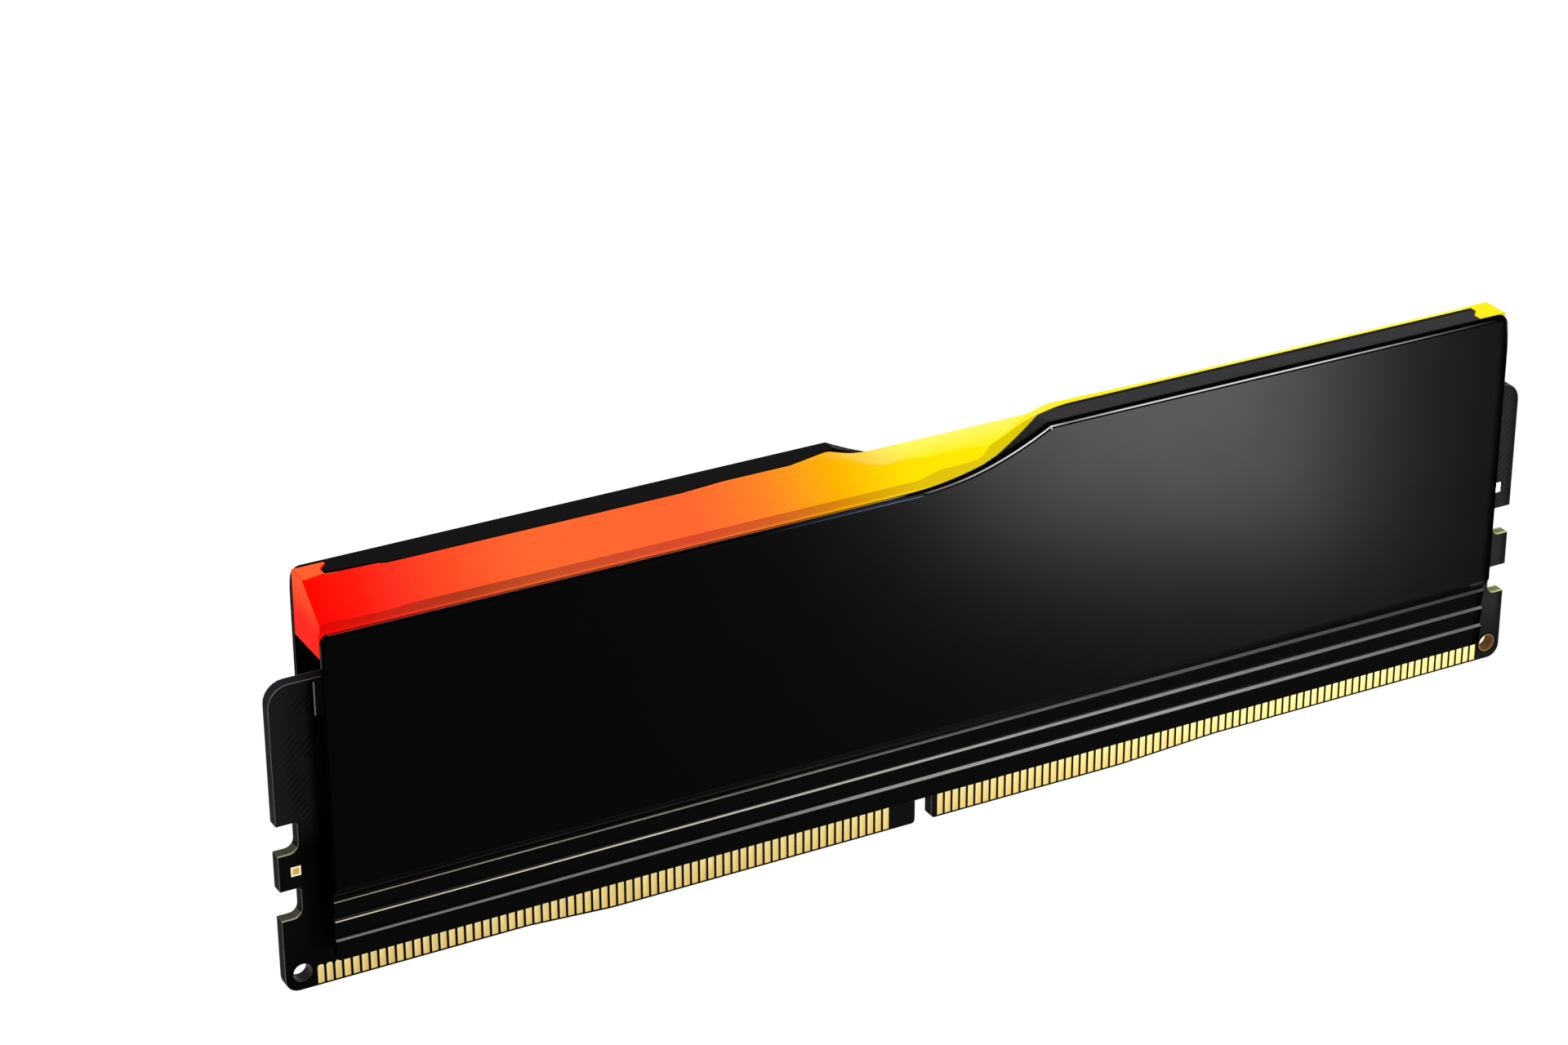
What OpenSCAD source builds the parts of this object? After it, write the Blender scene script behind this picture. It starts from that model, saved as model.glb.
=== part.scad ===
// Memory module with two sheet heat spreaders and a light bar.
// +X runs along the module, +Y points to its back, +Z points up out of the socket.
// The origin is the middle of the board's lowest edge, halfway through its thickness.

/* [Contact edge] */
// Distance from one contact to the next
contact_pitch = 0.85; // [0.8:0.01:0.9]
// Contacts on each face, left of the key
contacts_left = 69; // [60:1:72]
// Contacts on each face, right of the key
contacts_right = 75; // [66:1:78]
// Contact places left empty around the key
contacts_skipped = 6; // [5:1:8]
// Width of one contact
contact_w = 0.6; // [0.4:0.05:0.7]
// Height of the contacts' upper ends above the lowest edge
contact_top_z = 2.68; // [2.2:0.02:3.2]
// Bare board between a contact and the edge below it
contact_edge_gap = 0.25; // [0.1:0.05:0.5]
// Radius at a contact's two upper corners
contact_r = 0.26; // [0.05:0.01:0.28]
// Thickness of the plating on the board
plating_t = 0.05; // [0.02:0.01:0.1]
// Rise of the outer stretches of the edge above its middle
edge_rise = 0.55; // [0.2:0.05:1]
// Start of the left ramp of the edge, from the board's left end
left_ramp_inset = 23.75; // [18:0.05:28]
// Length of the left ramp of the edge
left_ramp_len = 8.5; // [5:0.1:12]
// Start of the right ramp of the edge, from the board's right end
right_ramp_inset = 34.8; // [28:0.05:40]
// Length of the right ramp of the edge
right_ramp_len = 11; // [6:0.1:14]
// Width of the key slot
key_w = 1.8; // [1.4:0.1:2.2]
// Middle of the key slot, left of the board's middle
key_offset = 1.4; // [1:0.1:1.8]
// Height of the key slot
key_h = 3.3; // [2.8:0.1:3.6]
// Radius of the key slot's corners
key_r = 0.4; // [0.2:0.05:0.6]

/* [Circuit board] */
// Height of the board
board_h = 31.25; // [30:0.25:32.5]
// Thickness of the board
board_t = 1.27; // [1:0.01:1.6]
// Board beyond the middle of the last contact
board_end = 3.35; // [3:0.05:4]
// Radius of the upper corners
board_top_r = 2; // [0.5:0.1:3]
// Radius of the lower corners
board_bottom_r = 1.3; // [0.5:0.1:1.6]
// Height of the latch notches
notch_h = 3; // [2.4:0.1:3.4]
// Depth of the latch notches
notch_depth = 2; // [1.6:0.1:2.6]
// Middle of the lower latch notch above the lowest edge
notch_low_z = 9.5; // [9:0.1:10]
// Middle of the upper latch notch above the lowest edge
notch_high_z = 16.1; // [15.6:0.1:16.8]
// Radius at a notch's lower inner corner
notch_floor_r = 0.9; // [0.3:0.1:1.2]
// Radius at a notch's upper inner corner
notch_roof_r = 0.3; // [0.1:0.1:0.6]
// Diameter of the corner holes inside their plating
hole_d = 1.75; // [1.4:0.05:2]
// Wall of the plated sleeve in a corner hole
sleeve_wall = 0.16; // [0.15:0.01:0.2]
// Width of the plated ring around a corner hole
hole_ring_w = 0.24; // [0.24:0.01:0.3]
// Middle of a corner hole from the board's end
hole_inset = 1.63; // [1.5:0.01:1.8]
// Middle of a corner hole above the lowest edge
hole_z = 2.35; // [2.1:0.05:2.6]

/* [Test pads and tape] */
// Width of the gold pad on the left tab
gold_pad_w = 0.95; // [0.6:0.05:1.2]
// Height of the gold pad on the left tab
gold_pad_h = 0.95; // [0.6:0.05:1.6]
// Width of the tinned pad on the right tab
tin_pad_w = 0.95; // [0.6:0.05:1.2]
// Height of the tinned pad on the right tab
tin_pad_h = 1; // [0.6:0.05:1.6]
// Middle of the gold pad from the board's end
gold_pad_inset = 1.6; // [1.4:0.05:1.8]
// Middle of the tinned pad from the board's end
tin_pad_inset = 1.9; // [1.4:0.05:2.1]
// Gap between the upper notch and the tinned pad
tin_pad_gap = 1.85; // [0.5:0.05:2.5]
// Length of each tape end
tape_len = 3; // [2:0.1:4]
// Height of the tape
tape_h = 3.2; // [2:0.1:4]
// Thickness of the tape
tape_t = 0.4; // [0.2:0.05:0.6]

/* [Heat spreaders] */
// Thickness of the module across both spreaders
module_t = 7; // [6.4:0.1:8]
// Height of the module
module_h = 40.3; // [39.5:0.1:42]
// Thickness of the spreaders' sheet
sheet_t = 0.7; // [0.5:0.05:0.9]
// Board that shows past each end of the spreaders
spreader_inset = 4.175; // [3.8:0.025:4.8]
// Bottom edge of the spreaders above the lowest edge
spreader_bottom_z = 3.7; // [3.4:0.1:4.2]
// Lower edge of the flat face
face_bottom_z = 11.5; // [11:0.1:12.5]
// Depth of the ribbed strip behind the flat face
rib_recess = 1; // [0.7:0.05:1.2]
// Ribs across the strip
rib_count = 3; // [2:1:3]
// Distance from one rib to the next
rib_pitch = 2; // [1.6:0.1:2.2]
// Crest of the uppermost rib
rib_top_z = 9.85; // [9.5:0.05:10.2]
// How far a rib stands out
rib_depth = 0.32; // [0.15:0.01:0.4]
// Height of a rib's upper bevel
rib_bevel = 0.22; // [0.1:0.01:0.4]
// Drop of the low half of the upper edge below the top
wave_drop = 3.9; // [3:0.1:4.5]
// Start of the rise in the upper edge, from the module's middle
wave_start = -5; // [-8:0.5:-2]
// End of the rise in the upper edge, from the module's middle
wave_end = 10; // [8:0.5:12]
// Radius of the corner on the low half
low_corner_r = 0.9; // [0.3:0.1:1.5]
// Radius of the corner on the high half
high_corner_r = 1; // [0.3:0.1:1.5]
// Radius of the lower corners
spreader_foot_r = 0.5; // [0.2:0.1:1]
// Width of the front spreader's flange, folded over the light bar
front_flange_w = 3.3; // [2.8:0.1:3.4]
// Width of the back spreader's flange, folded over the light bar
back_flange_w = 3.5; // [2.8:0.1:3.6]
// Start of the flange, from the module's middle
flange_start = 2; // [1:0.5:4]
// Place where the front flange's slant meets its full width
flange_full = 12.9; // [11:0.1:14]
// Place where the back flange's slant would meet its full width
back_flange_full = 16.8; // [15:0.1:18]
// Half of the rounding between the slant and the full width
flange_round = 1.6; // [0.5:0.1:3]
// Length of the opening at the flange's outer end
flange_opening = 3.1; // [2:0.1:4]
// Length of the ear at the flange's outer end
flange_ear = 0.8; // [0.3:0.1:1]
// Width of the ear at the flange's outer end
flange_ear_w = 1.2; // [0.8:0.1:1.6]
// Depth of the relief in the back flange's inner edge
relief_depth = 0.8; // [0.3:0.05:1]
// Depth of that relief at its inner end
relief_heel = 0.45; // [0.2:0.05:0.7]
// Length of the relief at the back flange's outer end
relief_len = 4.9; // [3:0.1:8]
// Depth of the relief beside the back flange's slant
inner_relief = 0.4; // [0.2:0.05:0.6]
// Place where the relief beside the slant has run out
inner_relief_end = 26.5; // [22:0.5:30]
// Length over which that relief runs out
inner_relief_run = 4.5; // [2:0.5:6]

/* [Light bar] */
// Clearance between the light bar and the spreaders
bar_clearance = 0.05; // [0.03:0.01:0.15]
// Step from the spreaders' faces back to the light bar's lower band
bar_inset = 0.4; // [0.2:0.05:0.6]
// Size of the slope along the light bar's upper edges
bar_slope = 2.8; // [2:0.1:2.9]
// Reach of the front slope across the bar at the bar's end
slope_tip = 3.45; // [2.8:0.05:3.6]
// Reach of the front slope across the bar beside the back flange's ear
slope_shoulder = 3.9; // [2.8:0.1:4]
// Place where the front slope starts to narrow, from the module's middle
slope_start = -4.2; // [-6:0.1:-3]
// Place where the front slope has narrowed, from the module's middle
slope_end = -1; // [-2:0.1:0]
// Size of the front slope beside the saddle
saddle_edge = 2.2; // [1.6:0.1:2.6]
// Place where the front slope starts to run out, from the module's middle
edge_start = 1.5; // [0.5:0.1:3]
// Place where the front slope has run out, from the module's middle
edge_end = 6.6; // [5:0.1:8]
// Size of the back slope beside the saddle
back_slope = 2.5; // [2:0.1:2.9]
// Place where the back slope starts to narrow, from the module's middle
back_slope_full = 24; // [20:0.5:28]
// Place where the back slope has narrowed, from the module's middle
back_slope_narrow = 14; // [12:0.5:16]
// End of the back slope under the back flange, from the module's middle
back_slope_end = 13; // [11:0.5:14]
// Depth of the saddle in the middle of the light bar
saddle_depth = 1.15; // [0.5:0.05:1.6]
// Left end of the saddle's floor, from the module's middle
saddle_left = -6.2; // [-8:0.1:-5]
// Length of the ramp at the saddle's left end
saddle_left_ramp = 5.4; // [4:0.1:7]
// Right end of the saddle's floor along the middle of the bar
saddle_right = 7.5; // [6:0.1:9]
// Length of the ramp at the saddle's right end
saddle_right_ramp = 4; // [3:0.1:6]
// How far the saddle's right end leans along the bar for each millimetre across it
saddle_slant = 1.6; // [0.5:0.1:2]
// Height of the light bar's foot on the board
foot_h = 2.75; // [2:0.05:3.5]
// Thickness of the light bar's foot on the board
foot_t = 3.2; // [2.4:0.1:3.6]
// Spreader beyond each end of the light bar's foot
foot_inset = 4.5; // [3.5:0.5:8]

/* [Chips and parts] */
// Width of a memory chip
chip_w = 9; // [7.5:0.1:10.5]
// Height of a memory chip
chip_h = 11; // [9:0.1:12]
// Thickness of a memory chip on its solder
chip_t = 1.1; // [0.8:0.05:1.3]
// Gap between the memory chips and the board's upper edge
chip_top_gap = 5.75; // [4.8:0.05:6.5]
// Width of the power section between the chip rows
power_zone_w = 26; // [24:0.5:28]
// Spreader beyond the last memory chip's place
chip_end_gap = 1; // [0.5:0.1:2]
// Border of the chips left bare by the thermal pads
pad_border = 0.4; // [0.2:0.1:1]
// Side of the power chip
power_chip_w = 5; // [4:0.1:6]
// Thickness of the power chip
power_chip_t = 0.9; // [0.7:0.05:1.1]
// Width of a power inductor
inductor_w = 3.2; // [2.5:0.1:3.6]
// Height of a power inductor
inductor_h = 2.6; // [2:0.1:3]
// Thickness of a power inductor
inductor_t = 1.2; // [0.9:0.05:1.4]
// Distance from one inductor to the next
inductor_pitch = 6; // [5:0.1:7]
// Gap between the power chip and the parts around it
power_gap = 1.4; // [0.8:0.1:2]
// Width of the identity chip
hub_chip_w = 3; // [2.5:0.1:4]
// Height of the identity chip
hub_chip_h = 2; // [1.6:0.1:2.6]
// Thickness of the identity chip
hub_chip_t = 0.75; // [0.5:0.05:1]
// Side of the lighting chip
light_chip_w = 4; // [3:0.1:5]
// Thickness of the lighting chip
light_chip_t = 0.85; // [0.6:0.05:1]
// Width of a light
light_w = 2; // [1.4:0.1:2.6]
// Height of a light
light_h = 1; // [0.6:0.1:1.4]
// Thickness of a light
light_t = 0.8; // [0.5:0.05:1]
// Gap between the lights and the board's upper edge
light_gap = 0.25; // [0.1:0.05:0.6]
// Length of a small capacitor
capacitor_w = 1; // [0.6:0.1:1.6]
// Height of a small capacitor
capacitor_h = 0.5; // [0.3:0.05:0.8]
// Thickness of a small capacitor
capacitor_t = 0.5; // [0.3:0.05:0.8]
// Capacitors under each memory chip
capacitors_per_chip = 3; // [2:1:4]
// Gap between the memory chips and their capacitors
capacitor_gap = 0.8; // [0.4:0.1:1.2]
// Width of a resistor array
resistor_w = 2; // [1.4:0.1:2.6]
// Height of a resistor array
resistor_h = 1; // [0.6:0.1:1.4]
// Thickness of a resistor array
resistor_t = 0.45; // [0.3:0.05:0.6]
// Middle of the resistor arrays above the lowest edge
resistor_z = 7; // [6:0.1:8]

/* [Hidden] */
$fn = 48;
arc_steps = 6;
contact_arc_steps = 3;
wave_steps = 20;
back_fade = 5;
cut = 0.5;
sleeve_fit = 0.02;
chips_per_half = 4;
chip_count = 2 * chips_per_half;
light_count = 8;
inductor_count = 3;

contact_places = contacts_left + contacts_skipped + contacts_right;
board_half = (contact_places - 1) / 2 * contact_pitch + board_end;
board_face = board_t / 2;
hole_r = hole_d / 2;
hole_x = board_half - hole_inset;
left_ramp_x = left_ramp_inset - board_half;
right_ramp_x = board_half - right_ramp_inset;

face_y = module_t / 2;
inner_y = face_y - sheet_t;
spreader_half = board_half - spreader_inset;
low_z = module_h - wave_drop;
root_y = face_y - rib_recess;
crest_y = root_y + rib_depth;
flange_end = spreader_half - flange_opening;
relief_start = flange_end + flange_ear - relief_len;

bar_half = spreader_half;
bar_side = face_y - bar_inset;
bar_back_y = inner_y - bar_clearance;
saddle_lean = saddle_slant * bar_side;
bar_bottom_z = board_h + foot_h;
foot_half = spreader_half - foot_inset;

chip_place = (spreader_half - chip_end_gap - power_zone_w / 2) / chips_per_half;
chip_z = board_h - chip_top_gap - chip_h / 2;
chip_front_y = board_face + chip_t;
power_front_y = board_face + power_chip_t;
power_z = chip_z;
inductor_z = power_z + power_chip_w / 2 + power_gap + inductor_h / 2;
hub_chip_z = power_z - power_chip_w / 2 - power_gap - hub_chip_h / 2;
light_z = board_h - light_gap - light_h / 2;
light_place = 2 * foot_half / light_count;
capacitor_z = chip_z - chip_h / 2 - capacitor_gap;
capacitor_place = chip_w / capacitors_per_chip;
gold_pad_x = board_half - gold_pad_inset;
tin_pad_x = board_half - tin_pad_inset;

// Rules for places and curves

// Middle of a contact place, counted from the left end
function place_x(i) = (i - (contact_places - 1) / 2) * contact_pitch;

// Share of the way from a to b, kept between 0 and 1
function share(x, a, b) = max(0, min(1, (x - a) / (b - a)));

// Smooth rise from 0 to 1
function smooth(t) = t * t * (3 - 2 * t);

// Points along an arc
function arc(cx, cy, r, a0, a1, n = arc_steps) = [
    for (i = [0:n])
        let (a = a0 + (a1 - a0) * i / n)
        [cx + r * cos(a), cy + r * sin(a)]
];

// Height of the board's lower edge
function edge_z(x) =
    edge_rise * share(x, left_ramp_x + left_ramp_len, left_ramp_x)
    + edge_rise * share(x, right_ramp_x - right_ramp_len, right_ramp_x);

// Height of the front spreader's upper edge
function wave_z(x) = low_z + wave_drop * pow(share(x, wave_start, wave_end), 2);

// Share of a flange's full width: a slant, rounded where it meets the full width
function fold(x, full) =
    let (rest = full + flange_round - x)
    rest > 2 * flange_round ? share(x, flange_start, full)
    : 1 - pow(rest, 2) / (4 * flange_round * (full - flange_start));

// Share of a slope that is left on its way from full size to nothing
function fade(x, a, b) = 1 - pow(share(x, a, b), 2);

// Size of the front slope: full on the low half, narrower beside the saddle, then nothing
function front_slope(x) =
    bar_slope
    - (bar_slope - saddle_edge) * smooth(share(x, slope_start, slope_end))
    - saddle_edge * smooth(share(x, edge_start, edge_end));

// Height of the saddle for a share of the way up one of its ramps
function saddle_z(t) = module_h - saddle_depth * (1 - smooth(t));

// Steps between two places along X
function steps(a, b) = [for (i = [0:wave_steps]) a + (b - a) * i / wave_steps];

// Solids that the pieces are made from

// Outline in X and Z, spread along Y from y0 to y1
module along_y(y0, y1) {
    translate([0, y1, 0])
        rotate([90, 0, 0])
            linear_extrude(y1 - y0) children();
}

// Outline in Y and Z, spread along X from x0 to x1
module along_x(x0, x1) {
    translate([x0, 0, 0])
        rotate([90, 0, 90])
            linear_extrude(x1 - x0) children();
}

// Turns its children half round, onto the back
module at_back() {
    rotate([0, 0, 180]) children();
}

// Block on the board's front face, with its middle at x, z
module on_front(x, z, w, h, t) {
    translate([x - w / 2, -board_face - t, z - h / 2]) cube([w, t, h]);
}

// Board outline from the key round the right end to the top
function notch_points(z) = concat(
    [[board_half, z - notch_h / 2]],
    arc(board_half - notch_depth + notch_floor_r, z - notch_h / 2 + notch_floor_r,
        notch_floor_r, 270, 180),
    arc(board_half - notch_depth + notch_roof_r, z + notch_h / 2 - notch_roof_r,
        notch_roof_r, 180, 90),
    [[board_half, z + notch_h / 2]]
);

function board_end_points() = concat(
    arc(board_half - board_bottom_r, edge_rise + board_bottom_r, board_bottom_r, 270, 360),
    notch_points(notch_low_z),
    notch_points(notch_high_z),
    arc(board_half - board_top_r, board_h - board_top_r, board_top_r, 0, 90)
);

function reversed(list) = [for (i = [len(list) - 1:-1:0]) list[i]];
function mirrored(list) = [for (p = reversed(list)) [-p[0], p[1]]];

function key_points() = concat(
    arc(-key_offset - key_w / 2 - key_r, key_r, key_r, 270, 360),
    arc(-key_offset - key_w / 2 + key_r, key_h - key_r, key_r, 180, 90),
    arc(-key_offset + key_w / 2 - key_r, key_h - key_r, key_r, 90, 0),
    arc(-key_offset + key_w / 2 + key_r, key_r, key_r, 180, 270)
);

function board_points() = concat(
    [[left_ramp_x, edge_rise], [left_ramp_x + left_ramp_len, 0]],
    key_points(),
    [[right_ramp_x - right_ramp_len, 0], [right_ramp_x, edge_rise]],
    board_end_points(),
    mirrored(board_end_points())
);

module circuit_board() {
    color("#1c1d1f")
        difference() {
            along_y(-board_face, board_face) polygon(board_points());
            for (side = [-1, 1])
                translate([side * hole_x, 0, hole_z])
                    rotate([90, 0, 0])
                        cylinder(h = board_t + 2 * cut, r = hole_r + sleeve_wall + sleeve_fit, center = true);
        }
}

// Contact with two round upper corners
function contact_points(x) = let (foot = edge_z(x) + contact_edge_gap, w = contact_w / 2) concat(
    [[x - w, foot], [x + w, foot]],
    arc(x + w - contact_r, contact_top_z - contact_r, contact_r, 0, 90, contact_arc_steps),
    arc(x - w + contact_r, contact_top_z - contact_r, contact_r, 90, 180, contact_arc_steps)
);

module contacts(first, count) {
    color("#d9b65c")
        for (i = [first:first + count - 1])
            along_y(-board_face - plating_t, -board_face) polygon(contact_points(place_x(i)));
}

module front_contacts_left() { contacts(0, contacts_left); }
module front_contacts_right() { contacts(contacts_left + contacts_skipped, contacts_right); }
module back_contacts_left() { mirror([0, 1, 0]) front_contacts_left(); }
module back_contacts_right() { mirror([0, 1, 0]) front_contacts_right(); }

// Plated sleeve with a ring on each face of the board
module hole_sleeve(side) {
    sleeve_r = hole_r + sleeve_wall;
    color("#a8813f")
        translate([side * hole_x, 0, hole_z])
            rotate([90, 0, 0])
                difference() {
                    union() {
                        cylinder(h = board_t + 2 * plating_t, r = sleeve_r, center = true);
                        for (end = [-1, 1])
                            translate([0, 0, end * (board_face + plating_t / 2)])
                                cylinder(h = plating_t, r = hole_r + hole_ring_w, center = true);
                    }
                    cylinder(h = board_t + 2 * cut, r = hole_r, center = true);
                }
}

module left_hole_sleeve() { hole_sleeve(-1); }
module right_hole_sleeve() { hole_sleeve(1); }

module gold_test_pad() {
    color("#c9a24a")
        on_front(-gold_pad_x, (notch_low_z + notch_high_z) / 2, gold_pad_w, gold_pad_h, plating_t);
}

module tinned_test_pad() {
    tin_pad_z = notch_high_z + notch_h / 2 + tin_pad_gap + tin_pad_h / 2;
    color("#e4e4dc") on_front(tin_pad_x, tin_pad_z, tin_pad_w, tin_pad_h, plating_t);
}

module front_tape() {
    color("#9a9a98")
        on_front(-spreader_half + tape_len / 2, board_h - light_gap - tape_h / 2,
            tape_len, tape_h, tape_t);
}

module back_tape() { at_back() front_tape(); }

// Middle of a chip in the row of the front, 1 to 8 from the left
function chip_x(i) =
    let (n = chips_per_half, k = i <= n ? n - i : i - n - 1)
    (i <= n ? -1 : 1) * (power_zone_w / 2 + (k + 0.5) * chip_place);

module memory_chip(i) {
    color("#26272a") on_front(chip_x(i), chip_z, chip_w, chip_h, chip_t);
}

module power_chip() {
    color("#2b2c2f") on_front(0, power_z, power_chip_w, power_chip_w, power_chip_t);
}

module power_inductor(i) {
    color("#4a4b4d")
        on_front((i - (inductor_count + 1) / 2) * inductor_pitch, inductor_z,
            inductor_w, inductor_h, inductor_t);
}

module identity_chip() {
    color("#2b2c2f") on_front(0, hub_chip_z, hub_chip_w, hub_chip_h, hub_chip_t);
}

module lighting_chip() {
    color("#2b2c2f") at_back() on_front(0, power_z, light_chip_w, light_chip_w, light_chip_t);
}

module light(i) {
    color("#efece0")
        on_front((i - (light_count + 1) / 2) * light_place, light_z, light_w, light_h, light_t);
}

// Capacitors left and right of the power chip
module power_capacitors() {
    capacitor_x = power_chip_w / 2 + power_gap + capacitor_w / 2;
    color("#b39b77")
        for (side = [-1, 1], row = [-1, 0, 1])
            on_front(side * capacitor_x, power_z + row * power_chip_w / 3,
                capacitor_w, capacitor_h, capacitor_t);
}

module front_capacitors() {
    color("#b39b77")
        for (i = [1:chip_count], k = [1:capacitors_per_chip])
            on_front(chip_x(i) + (k - (capacitors_per_chip + 1) / 2) * capacitor_place, capacitor_z,
                capacitor_w, capacitor_h, capacitor_t);
}

module back_capacitors() { at_back() front_capacitors(); }

module front_resistors() {
    color("#202020")
        for (i = [1:chip_count])
            on_front(chip_x(i), resistor_z, resistor_w, resistor_h, resistor_t);
}

module back_resistors() { at_back() front_resistors(); }

// Pad between half a row of chips and the spreader
module thermal_pad(side) {
    pad_start = power_zone_w / 2 + pad_border;
    pad_len = chips_per_half * chip_place - 2 * pad_border;
    color("#8f979c")
        translate([side > 0 ? pad_start : -pad_start - pad_len, -inner_y,
            chip_z - chip_h / 2 + pad_border])
            cube([pad_len, inner_y - chip_front_y, chip_h - 2 * pad_border]);
}

module front_thermal_pad_left() { thermal_pad(-1); }
module front_thermal_pad_right() { thermal_pad(1); }
module back_thermal_pad_left() { at_back() thermal_pad(1); }
module back_thermal_pad_right() { at_back() thermal_pad(-1); }

module power_thermal_pad() {
    color("#8f979c")
        translate([-power_chip_w / 2, -inner_y, power_z - power_chip_w / 2])
            cube([power_chip_w, inner_y - power_front_y, power_chip_w]);
}

// Heat spreader, drawn as the front one

// Section through the sheet: flat face above, ribbed strip below
function rib_z(i) = rib_top_z - i * rib_pitch;

function sheet_points() = concat(
    [[-inner_y, module_h], [-face_y, module_h], [-face_y, face_bottom_z]],
    [for (i = [0:rib_count - 1], p = [[-root_y, rib_z(i) + rib_bevel], [-crest_y, rib_z(i)]]) p],
    [
        [-root_y, spreader_bottom_z],
        [-root_y + sheet_t, spreader_bottom_z],
        [-root_y + sheet_t, rib_z(0) + rib_bevel],
        [-inner_y, face_bottom_z]
    ]
);

// Front view of the sheet
function front_points() = concat(
    arc(-spreader_half + spreader_foot_r, spreader_bottom_z + spreader_foot_r, spreader_foot_r, 180, 270),
    arc(spreader_half - spreader_foot_r, spreader_bottom_z + spreader_foot_r, spreader_foot_r, 270, 360),
    arc(spreader_half - high_corner_r, module_h - high_corner_r, high_corner_r, 0, 90),
    [for (x = reversed(steps(wave_start, wave_end))) [x, wave_z(x)]],
    arc(-spreader_half + low_corner_r, low_z - low_corner_r, low_corner_r, 90, 180)
);

// Ribbon under the upper edge that the flange is cut from
function ribbon_points(drop) = concat(
    [for (x = steps(flange_start, wave_end)) [x, wave_z(x)]],
    [[spreader_half, module_h], [spreader_half, module_h - drop]],
    [for (x = reversed(steps(flange_start, wave_end))) [x, wave_z(x) - drop]]
);

// Kinds of flange: full width, end of the slant, relief at the outer end, relief beside the slant
FRONT_FLANGE = [front_flange_w, flange_full, 0, 0];
BACK_FLANGE = [back_flange_w, back_flange_full, relief_depth, inner_relief];

// Top view of a flange's free edge, with its reliefs and an ear at its outer end
function flange_points(kind, gap = 0) =
    let (width = kind[0], full = kind[1], relief = kind[2], inner = kind[3],
        edge = width - face_y + gap, tip = edge - relief, end = flange_end + gap)
    concat(
        [[flange_start, gap - face_y]],
        [for (x = steps(full - flange_round, full + flange_round))
            [x, min(width * fold(x, full), width - inner) - face_y + gap]],
        inner > 0 ? [[inner_relief_end - inner_relief_run, edge - inner], [inner_relief_end, edge]] : [],
        relief > 0 ? [[relief_start - relief_heel, edge], [relief_start, edge - relief_heel]] : [],
        [
            [end + flange_ear, tip],
            [end + flange_ear, tip - 2 * gap - flange_ear_w + flange_ear / 2],
            [end, tip - 2 * gap - flange_ear_w - flange_ear / 2]
        ]
    );

module flange(kind) {
    intersection() {
        along_y(-face_y, face_y) polygon(ribbon_points(sheet_t));
        linear_extrude(module_h + cut)
            polygon(concat(flange_points(kind), [[flange_end, -face_y]]));
    }
}

module heat_spreader(kind) {
    color("#161719")
        union() {
            intersection() {
                along_x(-spreader_half, spreader_half) polygon(sheet_points());
                along_y(-face_y - cut, 0) polygon(front_points());
            }
            flange(kind);
        }
}

module front_heat_spreader() { heat_spreader(FRONT_FLANGE); }
module back_heat_spreader() { at_back() heat_spreader(BACK_FLANGE); }

// Light bar

// Room for the front spreader's sheet: in front of the bar and below the upper edge
module sheet_room() {
    far = bar_half + cut;
    lid = module_h + cut;
    along_y(-face_y - cut, -bar_back_y)
        polygon(concat(
            [[-far, 0], [far, 0], [far, lid], [wave_end, lid]],
            [for (x = reversed(steps(wave_start, wave_end))) [x, wave_z(x) + bar_clearance]],
            [[-far, low_z + bar_clearance]]
        ));
}

// Room for the front flange and all that lies above it
module flange_room(kind) {
    lid = module_h + cut;
    floor_drop = sheet_t + bar_clearance;
    front = -face_y - cut;
    intersection() {
        along_y(front, face_y)
            polygon(concat(
                [for (x = steps(flange_start, wave_end)) [x, wave_z(x) - floor_drop]],
                [[bar_half, module_h - floor_drop], [bar_half, lid], [flange_start, lid]]
            ));
        linear_extrude(lid)
            polygon(concat(
                flange_points(kind, bar_clearance),
                [[flange_end + bar_clearance, front], [flange_start, front]]
            ));
    }
}

// Places along the front slope, with its size and how much further it reaches across than down
function front_slope_sizes() = concat(
    [
        [-bar_half - cut, bar_slope, slope_tip / bar_slope],
        [-bar_half, bar_slope, slope_tip / bar_slope],
        [-flange_end - flange_ear, bar_slope, slope_shoulder / bar_slope],
        [-relief_start, bar_slope, (bar_side + relief_heel) / bar_slope],
        [-relief_start + relief_heel, bar_slope, 1]
    ],
    [for (x = steps(slope_start, edge_end)) [x, front_slope(x), 1]]
);

// Places along the back slope, from its own left end: narrower beside the saddle
function back_slope_sizes() = concat(
    [[-bar_half - cut, bar_slope, 1], [-back_slope_full, bar_slope, 1], [-back_slope_narrow, back_slope, 1]],
    [for (x = steps(back_slope_end - back_fade, back_slope_end))
        [x, back_slope * fade(x, back_slope_end - back_fade, back_slope_end), 1]]
);

// Wedge that cuts a slope along the front upper edge
module slope_room(sizes) {
    n = len(sizes);
    points = [
        for (station = sizes)
            let (size = station[1], reach = station[2])
            for (p = [
                [-bar_side - cut, module_h + cut],
                [-bar_side - cut, module_h - size - cut / reach],
                [-bar_side + (size + cut) * reach, module_h + cut]
            ]) [station[0], p[0], p[1]]
    ];
    sides = [
        for (i = [0:n - 2], k = [0:2])
            let (a = 3 * i + k, b = 3 * i + (k + 1) % 3)
            [a + 3, b + 3, b, a]
    ];
    polyhedron(points, concat([[0, 1, 2], [3 * n - 1, 3 * n - 2, 3 * n - 3]], sides));
}

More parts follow.
